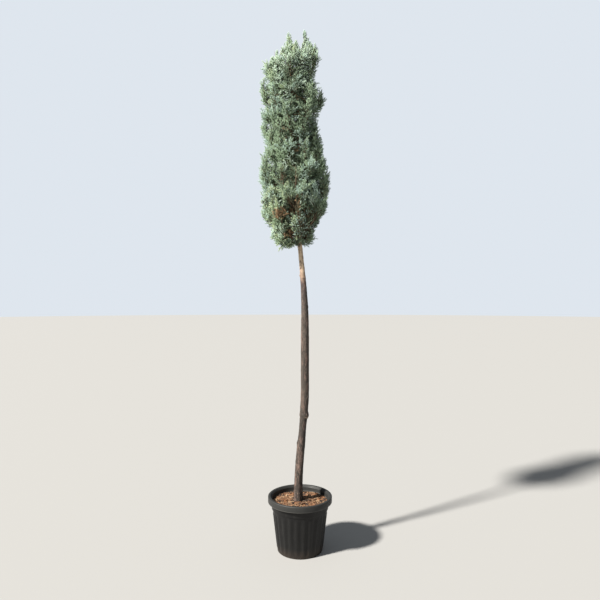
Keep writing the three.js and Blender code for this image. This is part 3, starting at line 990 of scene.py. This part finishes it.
# How much deeper than wide each kind of place is, towards the stem.
depths = {"bare": 2.2, "empty": 1.6, "dark": 2.6, "dryShoot": 1.6, "drySpray": 2.0}
paintedShadeReach = 1.4  # the dark shoots round a hollow reach this much further than it
tinting = {
    "mix": (0.5, 0.5, 0.12),  # by shoot, by plume and by place
    "waves": ((19, 0, 0, 1.3), (0, 17, 9, 0), (0, 0, 23, 0)),  # along X, Y and Z, and phase
    "blueFrom": 0.62,
    "paleFrom": 1.02,
    "young": (-0.02, 2.55, 0.28),  # furthest right, highest place, and share of the shoots there
    "bright": (3.0, 3.5, 0.6, 0.8),  # from, to, their share at the top, and the pale among them
    "paintedShade": (0.66, 3.38, 0.8),  # furthest out, highest place, and share
    "paleClump": 0.6,  # share of pale shoots in a clump, with young ones beside them
    "brown": (0.5, 3.25, 0.3),
    "dry": 0.8,
    "paintedShadeFoot": (0.45, 0.75),  # share of the shoot where sprays may be in the shade, and how many
}


# Which points lie in one of the patches: balls, drawn out towards the stem by the depth.
def nearAny(points, patches, depth=1.0, growth=1.0):
    near = np.zeros(len(points), bool)
    for middle, radius in patches:
        gap = points - np.array(middle)
        inward = unit(stemPoint(middle[2]) - np.array(middle))
        along = gap @ inward
        across = np.linalg.norm(gap - along[:, None] * inward, axis=1)
        along = np.where(along > 0, along / depth, along)
        near |= np.hypot(along, across) < growth * radius
    return near


# The tint of each shoot's sprays, by where the shoot is.
def dealTints(shoots, rng):
    tip = shoots["last"]
    x, y, z = tip.T
    out, angle = aroundStem(tip)
    out = out / np.maximum(crownRadius(z, angle), 0.05)

    def chance(share):
        return rng.random(len(tip)) < share

    byShoot, byPlume, byPlace = tinting["mix"]
    draw = rng.random(len(tip))
    wave = sum(np.sin(x * a + y * b + z * c + phase) for a, b, c, phase in tinting["waves"])
    plumeDraw = rng.random(len(axes["owner"]))[shoots["plume"]]
    blueness = byShoot * draw + byPlume * plumeDraw + byPlace * wave
    tint = np.where(blueness > tinting["blueFrom"], blue, green)
    tint[blueness > tinting["paleFrom"]] = pale
    furthest, highest, share = tinting["young"]
    tint[(x < furthest) & (z < highest) & chance(share)] = young
    low, high, share, paleShare = tinting["bright"]
    bright = chance(share * smoothStep(low, high, z))
    tint = np.where(bright, np.where(draw < paleShare, pale, young), tint)
    # painted shade: inner shoots and the shoots round the hollows get the darker tint that stands in
    # for shade
    furthest, highest, share = tinting["paintedShade"]
    tint[(out < furthest) & (z < highest) & chance(share)] = paintedShade
    tint[nearAny(tip, hollows, depths["dark"], paintedShadeReach)] = paintedShade
    clump = np.where(chance(tinting["paleClump"]), pale, young)
    tint = np.where(nearAny(tip, paleClumps), clump, tint)
    furthest, highest, share = tinting["brown"]
    tint[(out < furthest) & (z < highest) & chance(share)] = brown
    tint[nearAny(tip, dryPatches, depths["dryShoot"]) & chance(tinting["dry"])] = brown
    return tint


# A spray near the foot of its shoot is in the shade and darker, and most in a dry patch are dead.
def tintSprays(shootTint, sprays, rng):
    tint = shootTint[sprays["shoot"]]
    foot, share = tinting["paintedShadeFoot"]
    low = (sprays["share"] < foot) & (rng.random(len(tint)) < share) & (tint != brown)
    dead = nearAny(sprays["last"], dryPatches, depths["drySpray"])
    dead &= rng.random(len(tint)) < tinting["dry"]
    return np.where(dead, brown, np.where(low, paintedShade, tint))


foliage = {
    "seed": 93,
    "mostTriangles": 190000,  # in a piece
    "roughness": 0.7,
    "specular": 0.3,
}


def makeFoliage():
    rng = np.random.default_rng(foliage["seed"])
    shoots = fillGaps(joined(growShoots(rng), growLeaders(rng), axisEnds()), rng)
    shoots = chosenFrom(shoots, ~nearAny(shoots["last"], hollows, depths["empty"]))
    sprays = growSprays(shoots, rng)
    bare = np.zeros(len(sprays["length"]), bool)
    for middle, radius, share in barePatches:
        near = nearAny(sprays["last"], [(middle, radius)], depths["bare"])
        bare |= near & (rng.random(len(bare)) < share)
    sprays = chosenFrom(sprays, ~bare)
    tips = growTips(sprays, rng)
    tint = tintSprays(dealTints(shoots, rng), sprays, rng)
    print(len(shoots["length"]), "shoots", len(tint), "sprays", len(tips["spray"]), "tips")
    perSpray = 6 + 4 * tipRule["count"]  # triangles
    for index, (name, colour) in enumerate(tints.items()):
        material, _, _ = newMaterial(name, foliage["roughness"], foliage["specular"], colour)
        chosen = np.flatnonzero(tint == index)
        parts = math.ceil(len(chosen) * perSpray / foliage["mostTriangles"])
        for part, some in enumerate(np.array_split(chosen, parts)):
            carried = np.isin(tips["spray"], some)
            points, faces = spindles(sprays["first"][some], sprays["last"][some], sprayRule["radius"])
            more, moreFaces = spikes(tips["first"][carried], tips["last"][carried], tipRule["radius"])
            piece = meshFromArrays(
                f"{name}_{part + 1}", np.concatenate([points, more]),
                np.concatenate([faces, moreFaces + len(points)]), True
            )
            finish(piece, material, "foliage", *nodesNamed("foliage"))
    return shoots


shoots = makeFoliage()
print("foliage")


# Twigs: the plumes' axes and the shoots, as rods that end in a point

twigs = {
    "axis": (0.0046, 0.0012),  # radius at the foot and the tip
    "stoutness": (0.5, 0.5),  # share of the foot's radius on the slimmest, and what the stoutest adds
    "shoot": (0.0021, 0.0008),
    "axisShape": (6, 10),  # sides and rings
    "shootShape": (3, 4),
    "look": {"roughness": 0.8, "noise": (60.0,), "stops": (0.3, 0.7), "relief": (0.4, 0.001)},
}


# Tapered rods along the curves, each of some rings, closed at both ends.
def rods(curves, thick, thin, sides, rings):
    rows = []
    for ring in range(rings):
        share = ring / rings
        centre, along = onCurve(curves, share)
        rows.append(ringRound(centre, along, (thick + (thin - thick) * share)[:, None], sides))
    points = np.concatenate([*rows, curves["last"][:, None], curves["first"][:, None]], axis=1)
    top = (rings - 1) * sides
    faces = []
    for corner in range(sides):
        after = (corner + 1) % sides
        faces.append([corner, rings * sides + 1, after])
        for low in range(0, top, sides):
            high = low + sides
            faces.append([low + corner, low + after, high + after])
            faces.append([low + corner, high + after, high + corner])
        faces.append([top + corner, top + after, rings * sides])
    return alike(points, faces)


def addTwigs(name, dark, light, curves, thick, thin, shape):
    piece = meshFromArrays(name, *rods(curves, thick, thin, *shape), True)
    finish(piece, mottled(name, dark, light, twigs["look"]), "bark", *nodesNamed("foliage"))


axisFoot, axisTip = twigs["axis"]
shootFoot, shootTip = twigs["shoot"]
axisThick = axisFoot * graded(twigs["stoutness"], axes["stout"])
axisThick[ruledAxes:] = shootFoot
addTwigs("plumeStems", paint(66, 50, 40), paint(122, 98, 78),
         axes, axisThick, axisTip, twigs["axisShape"])
addTwigs("shootStems", paint(70, 66, 48), paint(112, 104, 78),
         shoots, np.full(len(shoots["length"]), shootFoot), shootTip, twigs["shootShape"])
print("twigs")


# Work in edit mode

# A closed tube through the centres. Its rings are level, or follow the tilt of the first.
def makeTube(name, sides, centres, radii, tilt=None):
    bpy.ops.object.select_all(action="DESELECT")
    bpy.ops.mesh.primitive_circle_add(
        vertices=sides, radius=radii[0], location=centres[0], rotation=tilt or (0, 0, 0),
        fill_type="NGON"
    )
    piece = bpy.context.object
    piece.name = name
    bpy.ops.object.transform_apply(location=True, rotation=True, scale=True)
    bpy.ops.object.mode_set(mode="EDIT")
    bpy.ops.mesh.select_all(action="SELECT")
    for i in range(1, len(centres)):
        move = Vector(centres[i]) - Vector(centres[i - 1])
        ratio = radii[i] / radii[i - 1]
        bpy.ops.mesh.extrude_region_move(TRANSFORM_OT_translate={"value": move})
        bpy.ops.transform.resize(
            value=(ratio, ratio, ratio if tilt else 1), center_override=centres[i]
        )
    bpy.ops.mesh.select_all(action="SELECT")
    bpy.ops.mesh.normals_make_consistent(inside=False)
    bpy.ops.object.mode_set(mode="OBJECT")
    return piece


# Stretches the piece, or the vertices of it for which the test on a place holds, from the origin.
def stretchPiece(piece, scale, test=None):
    bpy.context.view_layer.objects.active = piece
    bpy.ops.object.mode_set(mode="EDIT")
    bpy.ops.mesh.select_mode(type="VERT")
    bpy.ops.mesh.select_all(action="SELECT")
    if test:
        mesh = bmesh.from_edit_mesh(piece.data)
        for vertex in mesh.verts:
            vertex.select = test(vertex.co)
        mesh.select_flush_mode()
        bmesh.update_edit_mesh(piece.data)
    bpy.ops.transform.resize(value=scale, center_override=(0, 0, 0))
    bpy.ops.object.mode_set(mode="OBJECT")


def applyModifier(piece, kind, **settings):
    modifier = piece.modifiers.new(kind.lower(), kind)
    for key, value in settings.items():
        setattr(modifier, key, value)
    bpy.ops.object.modifier_apply(modifier=modifier.name)


# Clouds of some size and depth pushed into the surface.
def roughen(piece, name, size, depth, middle=0.5, **settings):
    clouds = bpy.data.textures.new(name, "CLOUDS")
    clouds.noise_scale = size
    for key, value in settings.items():
        setattr(clouds, key, value)
    applyModifier(piece, "DISPLACE", texture=clouds, texture_coords="LOCAL", strength=depth,
                  mid_level=middle)


# The stem

bark = {
    "foot": 0.328,  # just under the mulch
    "sides": 24,
    "ringEvery": 0.022,
    "crowding": 1.12,  # of the rings towards the foot
    "smoothing": 2,
    "squash": 0.16,  # the fissures are drawn on a shortened stem, which makes them long
    "fissures": (0.0085, 0.0026, 0.6),  # size, depth, and the level that stays where it is
    "flakes": (0.0035, 0.0009),
    "lobes": (5, 0.6, 0.5),  # of the root flare: count, turn, and share of the flare
    "bend": (0.945, 0.034, 0.048, 0.003),  # height, radius, half height and offset of the swelling
    "ledge": (0.024, 0.008, 0.004, 0.0022),  # under the bend, slant, half height and depth
    "brow": 0.008,  # over the ledge
    "knots": 7,
    "knotSpan": (0.430, 1.620),  # from, and over
    "knotPlaces": (0.3, 0.5),
    "knotTurn": 0.8,
    "knotRadius": 0.011,
    "knotSizes": (0.7, 0.5),
    "knotSunk": 0.35,
    "knotHeight": 1.4,
    "knotBulge": (0.8, 0.62),  # radius and height, in the knot's size
    "knotHollow": (0.28, 0.34),
    "knotScar": 0.55,
}


def makeStem():
    foot = bark["foot"]
    count = int((stem["top"] - foot) / bark["ringEvery"])
    levels = foot + (stem["top"] - foot) * (np.arange(count + 1) / count) ** bark["crowding"]
    radii = stemRadius(np.maximum(levels, stem["soil"])) + rootFlare(levels)
    piece = makeTube("stem", bark["sides"], stemPoint(levels), radii)
    applyModifier(piece, "SUBSURF", levels=bark["smoothing"], render_levels=bark["smoothing"])
    return piece


# A value at every vertex, for the material to read.
def addAttribute(piece, name, values):
    layer = piece.data.attributes.new(name, "FLOAT", "POINT")
    layer.data.foreach_set("value", values.astype(np.float32))


# Swells the stem to a short barrel over the bend, with a ledge under it.
def healBend(piece, points, outward, angle):
    bendZ, bendRadius, bendHalf, bendOffset = bark["bend"]
    middle = stemPoint(bendZ)[:2] + np.array([bendOffset, 0])
    rise = (points[:, 2] - bendZ) / bendHalf
    radius = bendRadius * np.sqrt(np.clip(1 - rise ** 2, 0, 1))
    fromBend = points[:, :2] - middle
    distance = np.linalg.norm(fromBend, axis=1)
    swell = (np.abs(rise) < 1) & (distance < radius)
    points[swell, :2] += (fromBend / distance[:, None])[swell] * (radius - distance)[swell, None]
    below, slant, half, depth = bark["ledge"]
    over = points[:, 2] - (bendZ - below - slant * np.cos(angle))
    points[:, :2] -= outward * (depth * hump(over / half))[:, None]
    brow = hump((over - bark["brow"]) / half)
    addAttribute(piece, "pale", brow * smoothStep(-0.2, 0.6, np.cos(angle)))


def addKnots(piece, points, outward):
    scars = np.zeros(len(points))
    draw = makeRandom(crown["seed"] + 2)
    bulgeRadius, bulgeHeight = bark["knotBulge"]
    hollowRadius, hollowDepth = bark["knotHollow"]
    for i in range(bark["knots"]):
        z = graded(bark["knotSpan"], (i + graded(bark["knotPlaces"], draw())) / bark["knots"])
        turn = i * goldenAngle + bark["knotTurn"]
        size = bark["knotRadius"] * graded(bark["knotSizes"], draw())
        facing = np.array([math.cos(turn), math.sin(turn), 0])
        out = float(stemRadius(z)) - bark["knotSunk"] * size
        near = points - (stemPoint(z) + out * facing)
        across = near - (near @ facing)[:, None] * facing
        height = across[:, 2] / bark["knotHeight"]
        spread = np.sqrt((across[:, :2] ** 2).sum(axis=1) + height ** 2) / size
        onSide = (outward @ facing[:2]) > 0.2
        bulge = hump(spread / bulgeRadius) * size * bulgeHeight
        hollow = hump(spread / hollowRadius) * size * hollowDepth
        points += facing * np.where(onSide, bulge - hollow, 0)[:, None]
        scars = np.maximum(scars, np.where(onSide, hump(spread / bark["knotScar"]), 0))
    addAttribute(piece, "knot", scars)


# Root flare lobes, the healed bend and the knots, pushed into the fine mesh.
def shapeStem(piece):
    points = np.empty(len(piece.data.vertices) * 3)
    piece.data.vertices.foreach_get("co", points)
    points = points.reshape(-1, 3)
    angle = aroundStem(points)[1]
    outward = (points - stemPoint(points[:, 2]))[:, :2]
    outward = outward / np.maximum(np.linalg.norm(outward, axis=1, keepdims=True), 1e-6)
    lobes, turn, share = bark["lobes"]
    push = rootFlare(points[:, 2]) * share * np.cos(lobes * angle + turn)
    points[:, :2] += outward * push[:, None]
    healBend(piece, points, outward, angle)
    addKnots(piece, points, outward)
    piece.data.vertices.foreach_set("co", points.ravel())
    piece.data.update()


# Long fissures and fine flakes pushed into the surface.
def carveBark(piece):
    size, depth, middle = bark["fissures"]
    stretchPiece(piece, (1, 1, bark["squash"]))
    roughen(piece, "fissures", size, depth, middle, noise_basis="VORONOI_F2_F1", noise_depth=1)
    stretchPiece(piece, (1, 1, 1 / bark["squash"]))
    roughen(piece, "flakes", *bark["flakes"], noise_depth=2)
    bpy.ops.object.shade_smooth()


# Dark scaly bark on the foot and the middle and a smooth purple collar, darkened further with painted
# shade, and young tan bark above it, lightened with painted light against the crown's shadow.
barkAndPaintedLightByHeight = [
    (0.40, paint(40, 34, 29)),
    (0.88, paint(48, 41, 37)),
    (0.98, paint(70, 61, 54)),
    (1.66, paint(72, 65, 58)),
    (1.80, paint(62, 53, 53)),
    (1.87, paint(72, 60, 60)),
    (1.91, paint(144, 120, 99)),
    (2.00, paint(214, 190, 162)),
    (2.08, paint(216, 192, 162)),
    (2.18, paint(170, 146, 120)),
    (2.40, paint(110, 90, 74)),
]
barkLook = {
    "wobble": 0.12,  # how far the colours by height wander
    "young": (1.92, 1.80),
    "collar": (1.86, 0.14, 0.05),  # height, and the half heights where it fades
    "plates": (62.0, 0.07),  # scale, and width of a crack
    "platesWander": (0.012, 0.012, 0.012),
}


def readAttribute(tree, name):
    node = tree.nodes.new("ShaderNodeAttribute")
    node.attribute_name = name
    return node.outputs["Fac"]


# Cracks between plates, 1 in a crack and 0 on a plate.
def cracksBetweenPlates(tree):
    scale, width = barkLook["plates"]
    moved = tree.nodes.new("ShaderNodeVectorMath")
    moved.operation = "MULTIPLY_ADD"
    plug(moved.inputs[0], noise(tree, 45.0, stretch=(1, 1, 0.5)))
    plug(moved.inputs[1], barkLook["platesWander"])
    plug(moved.inputs[2], stretched(tree, (1, 1, 0.38)))
    node = addNode(tree, "ShaderNodeTexVoronoi", Vector=moved.outputs[0], Scale=scale)
    node.feature = "DISTANCE_TO_EDGE"
    return maths("SUBTRACT", 1.0, between(node.outputs["Distance"], 0.0, width))


def makeBarkMaterial():
    material, tree, shader = newMaterial("stemBark", 0.85)
    wobble = maths("SUBTRACT", noise(tree, 22.0, stretch=(1, 1, 0.5)), 0.5)
    level = maths("ADD", heightOf(tree), times(wobble, barkLook["wobble"]))
    old = between(level, *barkLook["young"])  # 1 on the old bark below, 0 on the young bark
    aged = between(old, 0.0, 1.0, 0.3, 1.0)
    broad = noise(tree, 24.0, 3.0, 0.6, 0.6, (1, 1, 0.34))
    streaks = noise(tree, 75.0, 4.0, 0.6, 0.3, (1, 1, 0.13))
    warm = noise(tree, 52.0, 4.0, 0.65, 0.5, (1, 1, 0.22))
    grit = noise(tree, 150.0, 5.0, 0.7, 0.0, (1, 1, 0.7))
    rings = noise(tree, 34.0, 3.0, 0.55, 0.4, (0.3, 0.3, 3.4))
    worn = between(noise(tree, 26.0, 2.0), 0.35, 0.6)
    crack = times(cracksBetweenPlates(tree), times(old, worn))
    patches = between(noise(tree, 30.0, 2.0, stretch=(1, 1, 0.3)), 0.48, 0.62)
    flecks = times(between(grit, 0.56, 0.66), times(patches, old))
    middle, faint, full = barkLook["collar"]
    collar = between(maths("ABSOLUTE", maths("SUBTRACT", level, middle)), faint, full)
    ringed = maths("ADD", times(collar, 0.45), 0.2)
    spots = between(noise(tree, 36.0, 2.0, 0.5, stretch=(1, 1, 0.8)), 0.60, 0.66)
    # the colours by height hold painted shade low on the stem and painted light on the young bark
    low, high = barkAndPaintedLightByHeight[0][0], barkAndPaintedLightByHeight[-1][0]
    stops = [((z - low) / (high - low), colour) for z, colour in barkAndPaintedLightByHeight]
    coloured = layered(ramp(between(level, low, high), stops), (
        (times(between(broad, 0.38, 0.50, 0.75, 0.0), aged), paint(46, 40, 34)),  # dark areas
        (between(broad, 0.52, 0.62, 0.0, 0.55), paint(116, 96, 86)),  # worn areas
        (times(between(streaks, 0.42, 0.58, 0.7, 0.0), aged), paint(48, 43, 36)),  # streaks
        (between(warm, 0.52, 0.62, 0.0, 0.5), paint(118, 94, 84)),  # warm streaks
        (times(crack, 0.75), paint(36, 30, 26)),  # between the plates
        (times(flecks, 0.8), paint(152, 132, 116)),  # pale scales
        (between(grit, 0.42, 0.34, 0.0, 0.55), paint(46, 38, 33)),  # pits
        (times(between(rings, 0.56, 0.64), ringed), paint(52, 38, 38)),  # rings, most on the collar
        (times(times(spots, maths("SUBTRACT", 1.0, old)), 0.8), paint(70, 48, 42)),  # on young bark
        (times(readAttribute(tree, "knot"), 0.75), paint(44, 33, 29)),
        (times(readAttribute(tree, "pale"), 0.8), paint(170, 150, 132)),
    ))
    plug(shader.inputs["Base Color"], coloured)
    plug(shader.inputs["Roughness"], between(grit, 0.2, 0.8, 0.74, 0.96))
    relief = maths("ADD", times(maths("SUBTRACT", 1.0, crack), 0.8), times(grit, 0.5))
    bumpFrom(shader, maths("ADD", relief, times(streaks, 0.4)), 0.9, 0.003)
    return material


stemBark = makeBarkMaterial()
stemPiece = makeStem()
shapeStem(stemPiece)
carveBark(stemPiece)
finish(stemPiece, stemBark, "bark", "trunk")


# Boughs from the stem to their forks

limbs = {
    "radius": 0.011,
    "stoutness": 0.55,  # at most, of the stem's radius there
    "taper": 0.35,
    "sag": 0.006,
    "sides": 10,
    "steps": 9,
    "flakes": (0.006, 0.002),  # size and depth
}


def makeBoughs():
    pieces = []
    for bough in plan[:-1]:
        root, fork = bough["root"], bough["fork"]
        curve = {"first": root, "middle": (root + fork) / 2 - limbs["sag"] * up, "last": fork}
        stout = min(limbs["radius"], limbs["stoutness"] * float(stemRadius(root[2])))
        shares = np.linspace(0, 1, limbs["steps"] + 1)
        radii = stout * (1 - limbs["taper"] * shares)
        tilt = Vector(up).rotation_difference(Vector(fork - root)).to_euler()
        pieces.append(makeTube("bough", limbs["sides"], onCurve(curve, shares)[0], radii, tilt))
    for piece in pieces:
        piece.select_set(True)
    bpy.ops.object.join()
    whole = bpy.context.object
    whole.name = "boughs"
    applyModifier(whole, "SUBSURF", levels=1, render_levels=1)
    roughen(whole, "boughFlakes", *limbs["flakes"], noise_depth=2)
    bpy.ops.object.shade_smooth()
    return whole


finish(makeBoughs(), stemBark, "bark", *nodesNamed("bough"))
print("stem and boughs")


# Pot

pot = {
    "segments": 144,
    "flutes": 24,
    "fluteSpan": (0.025, 0.270),
    "fluteMiddle": 0.150,  # the height at which depth and ribs have their full size
    "fluteDepth": 0.0032,
    "ribHeight": 0.0024,  # of the crests between the flutes
    "base": (0.154, 0.158, 0.004),  # radius of the foot, of the wall just over it, and its height
    "wallRings": (0.020, 0.032, 0.100, 0.180, 0.262, 0.274),
    "step": (0.192, 0.2925),  # radius and height of the top of the fluted body
    "collar": (0.1985, 0.2945, 0.200, 0.372),
    "lip": (0.2215, 0.225, 0.340, 0.3765),
    "rim": (0.2215, 0.380, 0.208),  # the ring on top: its outer radius, height and inner radius
    "throat": (0.1975, 0.367),  # where the ring's slope meets the inner wall
    "wall": 0.0035,
    "edge": 0.0011,
    "edgeAngle": 38.0,
    "smoothAngle": 32.0,
}


def wallRadius(height):
    low, (high, top) = pot["base"][1], pot["step"]
    return low + (high - low) * height / top


def makePot():
    wall = pot["wall"]
    footRadius, wallFoot, foot = pot["base"]
    stepRadius, stepHeight = pot["step"]
    collarLow, collarLowZ, collarHigh, collarHighZ = pot["collar"]
    lipInner, lipOuter, lipFoot, lipShoulder = pot["lip"]
    rimOuter, rimTop, rimInner = pot["rim"]
    rings = [
        (footRadius, 0.0),
        (wallFoot, foot),
        *((wallRadius(z), z) for z in pot["wallRings"]),
        (stepRadius, stepHeight),
        (collarLow, collarLowZ),
        (collarHigh, collarHighZ),
        (lipInner, collarHighZ),
        (lipInner, lipFoot),
        (lipOuter, lipFoot),
        (lipOuter, lipShoulder),
        (rimOuter, rimTop),
        (rimInner, rimTop),
        pot["throat"],
        (collarLow - wall, collarLowZ),
        (stepRadius - wall, stepHeight),
        (wallRadius(foot) - wall, foot),
    ]
    radii = [radius for radius, _ in rings]
    piece = makeTube("container", pot["segments"], [(0, 0, z) for _, z in rings], radii)

    def inColumns(place, columns):
        low, high = pot["fluteSpan"]
        out = math.hypot(place.x, place.y)
        column = round(math.atan2(place.y, place.x) / fullTurn * pot["segments"])
        onWall = low < place.z < high and abs(out - wallRadius(place.z)) < 0.001
        return onWall and column % (pot["segments"] // pot["flutes"]) in columns

    middle = wallRadius(pot["fluteMiddle"])
    for columns, shift in (((0, 1), -pot["fluteDepth"]), ((3, 4), pot["ribHeight"])):
        grown = 1 + shift / middle
        stretchPiece(piece, (grown, grown, 1), lambda place: inColumns(place, columns))
    applyModifier(piece, "BEVEL", width=pot["edge"], segments=2, limit_method="ANGLE",
                  angle_limit=math.radians(pot["edgeAngle"]))
    bpy.ops.object.shade_smooth_by_angle(angle=math.radians(pot["smoothAngle"]))
    return piece


# Black plastic, bleached and dusty on the lip and lighter there with painted sunlight as well, with a
# painted highlight, partly wear, along the lip's lower edge, and soil splashed on the foot.
def makePotMaterial():
    material, tree, shader = newMaterial("darkPlastic", 0.5, 0.28)
    height = heightOf(tree)
    cloud = noise(tree, 8.0, 4.0, 0.6)
    runs = noise(tree, 42.0, stretch=(1, 1, 0.10))
    specks = noise(tree, 230.0, 3.0, 0.7)
    fromEdge = maths("ABSOLUTE", maths("SUBTRACT", height, pot["lip"][2] + 0.001))
    body = layered(paint(8, 8, 9), [(cloud, paint(16, 16, 15))])
    # the lip's lighter colour is partly bleaching and dust and partly painted sunlight
    lip = layered(paint(32, 33, 33), [(cloud, paint(48, 48, 46))])
    splashed = times(between(height, 0.07, 0.0, 0.0, 0.75), cloud)
    plug(shader.inputs["Base Color"], layered(body, (
        (between(height, 0.330, 0.340), lip),
        (between(runs, 0.52, 0.75, 0.0, 0.30), paint(42, 41, 39)),
        # a thin pale line along the lip's lower edge: painted highlight, with some wear
        (between(fromEdge, 0.0035, 0.0015, 0.0, 0.6), paint(84, 83, 79)),
        (between(specks, 0.64, 0.74, 0.0, 0.5), paint(70, 66, 59)),
        (splashed, paint(66, 55, 45)),
    )))
    plug(shader.inputs["Roughness"], between(runs, 0.2, 0.8, 0.44, 0.62))
    bumpFrom(shader, noise(tree, 380.0, 3.0, 0.6), 0.12, 0.0006)
    return material


finish(makePot(), makePotMaterial(), "pot", "pot")
print("pot")


# Potting mix and bark mulch

mulch = {
    "level": 0.335,
    "radius": 0.1940,
    "swell": 0.005,
    "waves": (0.031, 0.037, 0.019),
    "calm": (0.050, 0.090),  # from the middle, where the swell begins
    "mound": (0.009, 0.075, 0.050),  # height, distance from the middle and width of the heap
    "bottom": 0.3003,
    "bed": 0.006,  # the bed under the chips lies this much lower
    "sides": 96,
    "rings": 16,
    "innerRing": 0.012,
    "look": {"roughness": 0.95, "noise": (160.0, 6.0, 0.7), "stops": (0.35, 0.65),
             "relief": (0.9, 0.004)},
    "mixNoise": (220.0, 6.0, 0.7),
}
chip = {
    "count": 1500,
    "seed": 57,
    "stemClear": 0.036,
    "reach": 0.1935,
    "length": (0.030, 0.38, 0.008, 0.055),  # middle, spread, shortest and longest
    "width": (0.014, 0.3, 0.75),  # middle, spread, and most of the length
    "thickness": 0.0035,
    "thicknesses": (0.6, 0.8),
    "lie": (-0.003, 0.008),  # over the mulch's level, and what chance adds
    "tilt": (0.22, 0.28),  # along and across
    "sections": ((-0.5, 0.62, -1), (0.05, 1.0, 1), (0.5, 0.5, -1)),  # place, width and bow
    "bow": 0.0012,
    "jitter": (0.12, 0.4),  # of the corners, and how much of it goes along the chip
    "shares": (0.38, 0.26, 0.16, 0.20),  # of the tints
    "look": {"roughness": 0.85, "noise": (90.0, 5.0, 0.7), "stops": (0.35, 0.62),
             "worn": (0.7, 0.95), "relief": (0.6, 0.002)},
}
chipTints = {
    "chipsTan": (paint(76, 52, 35), paint(120, 88, 60)),
    "chipsOrange": (paint(76, 48, 31), paint(120, 80, 48)),
    "chipsPale": (paint(108, 82, 58), paint(156, 130, 100)),
    "chipsDark": (paint(38, 28, 22), paint(62, 46, 35)),
}


def mulchHeight(x, y):
    out = np.hypot(x, y)
    waveX, waveY, fine = mulch["waves"]
    wave = np.sin(x / waveX + 1) * np.cos(y / waveY) + 0.6 * np.sin((x + y) / fine)
    height, middle, width = mulch["mound"]
    heap = height * hump((out - middle) / width)
    return mulch["level"] + smoothStep(*mulch["calm"], out) * mulch["swell"] * (wave - 0.5) + heap


def makeMulchBed():
    bottom, top = (0, 0, mulch["bottom"]), (0, 0, mulch["level"] - mulch["bed"])
    radii = np.linspace(mulch["radius"], mulch["innerRing"], mulch["rings"])
    centres = [bottom] + [top] * mulch["rings"]
    piece = makeTube("mulchBed", mulch["sides"], centres, [mulch["radius"], *radii])
    for vertex in piece.data.vertices:
        if vertex.co.z > mulch["bottom"] + 0.01:
            vertex.co.z = float(mulchHeight(vertex.co.x, vertex.co.y)) - mulch["bed"]
    bpy.ops.object.shade_smooth()
    return piece


def makeChips():
    rng = np.random.default_rng(chip["seed"])
    count = chip["count"]
    nearest, furthest = chip["stemClear"], mulch["radius"]
    out = np.sqrt(nearest ** 2 + (furthest ** 2 - nearest ** 2) * rng.random(count))
    turn = rng.random(count) * fullTurn
    x, y = out * np.cos(turn), out * np.sin(turn)
    middle, spread, shortest, longest = chip["length"]
    length = np.clip(middle * np.exp(rng.normal(size=count) * spread), shortest, longest)
    middle, spread, most = chip["width"]
    width = np.minimum(middle * np.exp(rng.normal(size=count) * spread), length * most)
    thick = chip["thickness"] * varied(rng, chip["thicknesses"], count)
    centre = np.stack([x, y, mulchHeight(x, y) + varied(rng, chip["lie"], count)], 1)
    heading = rng.random(count) * fullTurn
    pitch, roll = (rng.normal(size=count) * spread for spread in chip["tilt"])
    cosine, sine = np.cos(heading), np.sin(heading)
    forward = np.stack([cosine * np.cos(pitch), sine * np.cos(pitch), np.sin(pitch)], 1)
    flat = np.stack([-sine, cosine, np.zeros(count)], 1)
    across = flat * np.cos(roll)[:, None] + np.cross(forward, flat) * np.sin(roll)[:, None]
    normal = np.cross(forward, across)
    # a chip is a bent splinter of three cross sections, narrower at its ends
    points = np.empty((count, 12, 3))
    corners = ((-0.5, -0.5), (0.5, -0.5), (0.5, 0.5), (-0.5, 0.5))
    for section, (along, wide, bow) in enumerate(chip["sections"]):
        jitter = rng.normal(size=(count, 4)) * chip["jitter"][0]
        for corner, (aside, upward) in enumerate(corners):
            moved = jitter[:, corner]
            points[:, section * 4 + corner] = (
                centre
                + forward * (length * (along + chip["jitter"][1] * moved))[:, None]
                + across * (width * wide * (aside + moved))[:, None]
                + normal * (thick * upward + chip["bow"] * bow)[:, None]
            )
    faces = [[0, 3, 2], [0, 2, 1], [8, 9, 10], [8, 10, 11]]
    for section in (0, 4):
        for corner in range(4):
            after = (corner + 1) % 4
            faces.append([section + corner, section + after, section + 4 + after])
            faces.append([section + corner, section + 4 + after, section + 4 + corner])
    # moved inwards where they would pass the container's wall
    far = np.hypot(points[..., 0], points[..., 1]).max(axis=1)
    inwards = -centre / out[:, None] * (1, 1, 0)
    points += (inwards * np.maximum(0, far - chip["reach"])[:, None])[:, None, :]
    kind = rng.choice(len(chipTints), size=count, p=chip["shares"])
    for index, (name, (dark, light)) in enumerate(chipTints.items()):
        piece = meshFromArrays(name, *alike(points[kind == index], faces), False)
        finish(piece, mottled(name, dark, light, chip["look"]), "mulch", "bark_mulch")


darkMulch = mottled("darkMulch", paint(30, 22, 17), paint(66, 48, 35), mulch["look"])
finish(makeMulchBed(), darkMulch, "mulch", "bark_mulch")
makeChips()
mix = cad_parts["potting_mix"]
mix.data.materials.clear()
mix.data.materials.append(mottled(
    "pottingMix", paint(40, 29, 22), paint(82, 62, 46), {**mulch["look"], "noise": mulch["mixNoise"]}
))
print("mulch")

ground = {"sides": 96, "radius": 60.0, "colour": (0.30, 0.298, 0.29, 1), "roughness": 0.9}
bpy.ops.object.select_all(action="DESELECT")
bpy.ops.mesh.primitive_circle_add(
    vertices=ground["sides"], radius=ground["radius"], fill_type="NGON"
)
floor = bpy.context.object
floor.name = "floor"
floor.data.materials.append(newMaterial("paleFloor", ground["roughness"], 0.5, ground["colour"])[0])
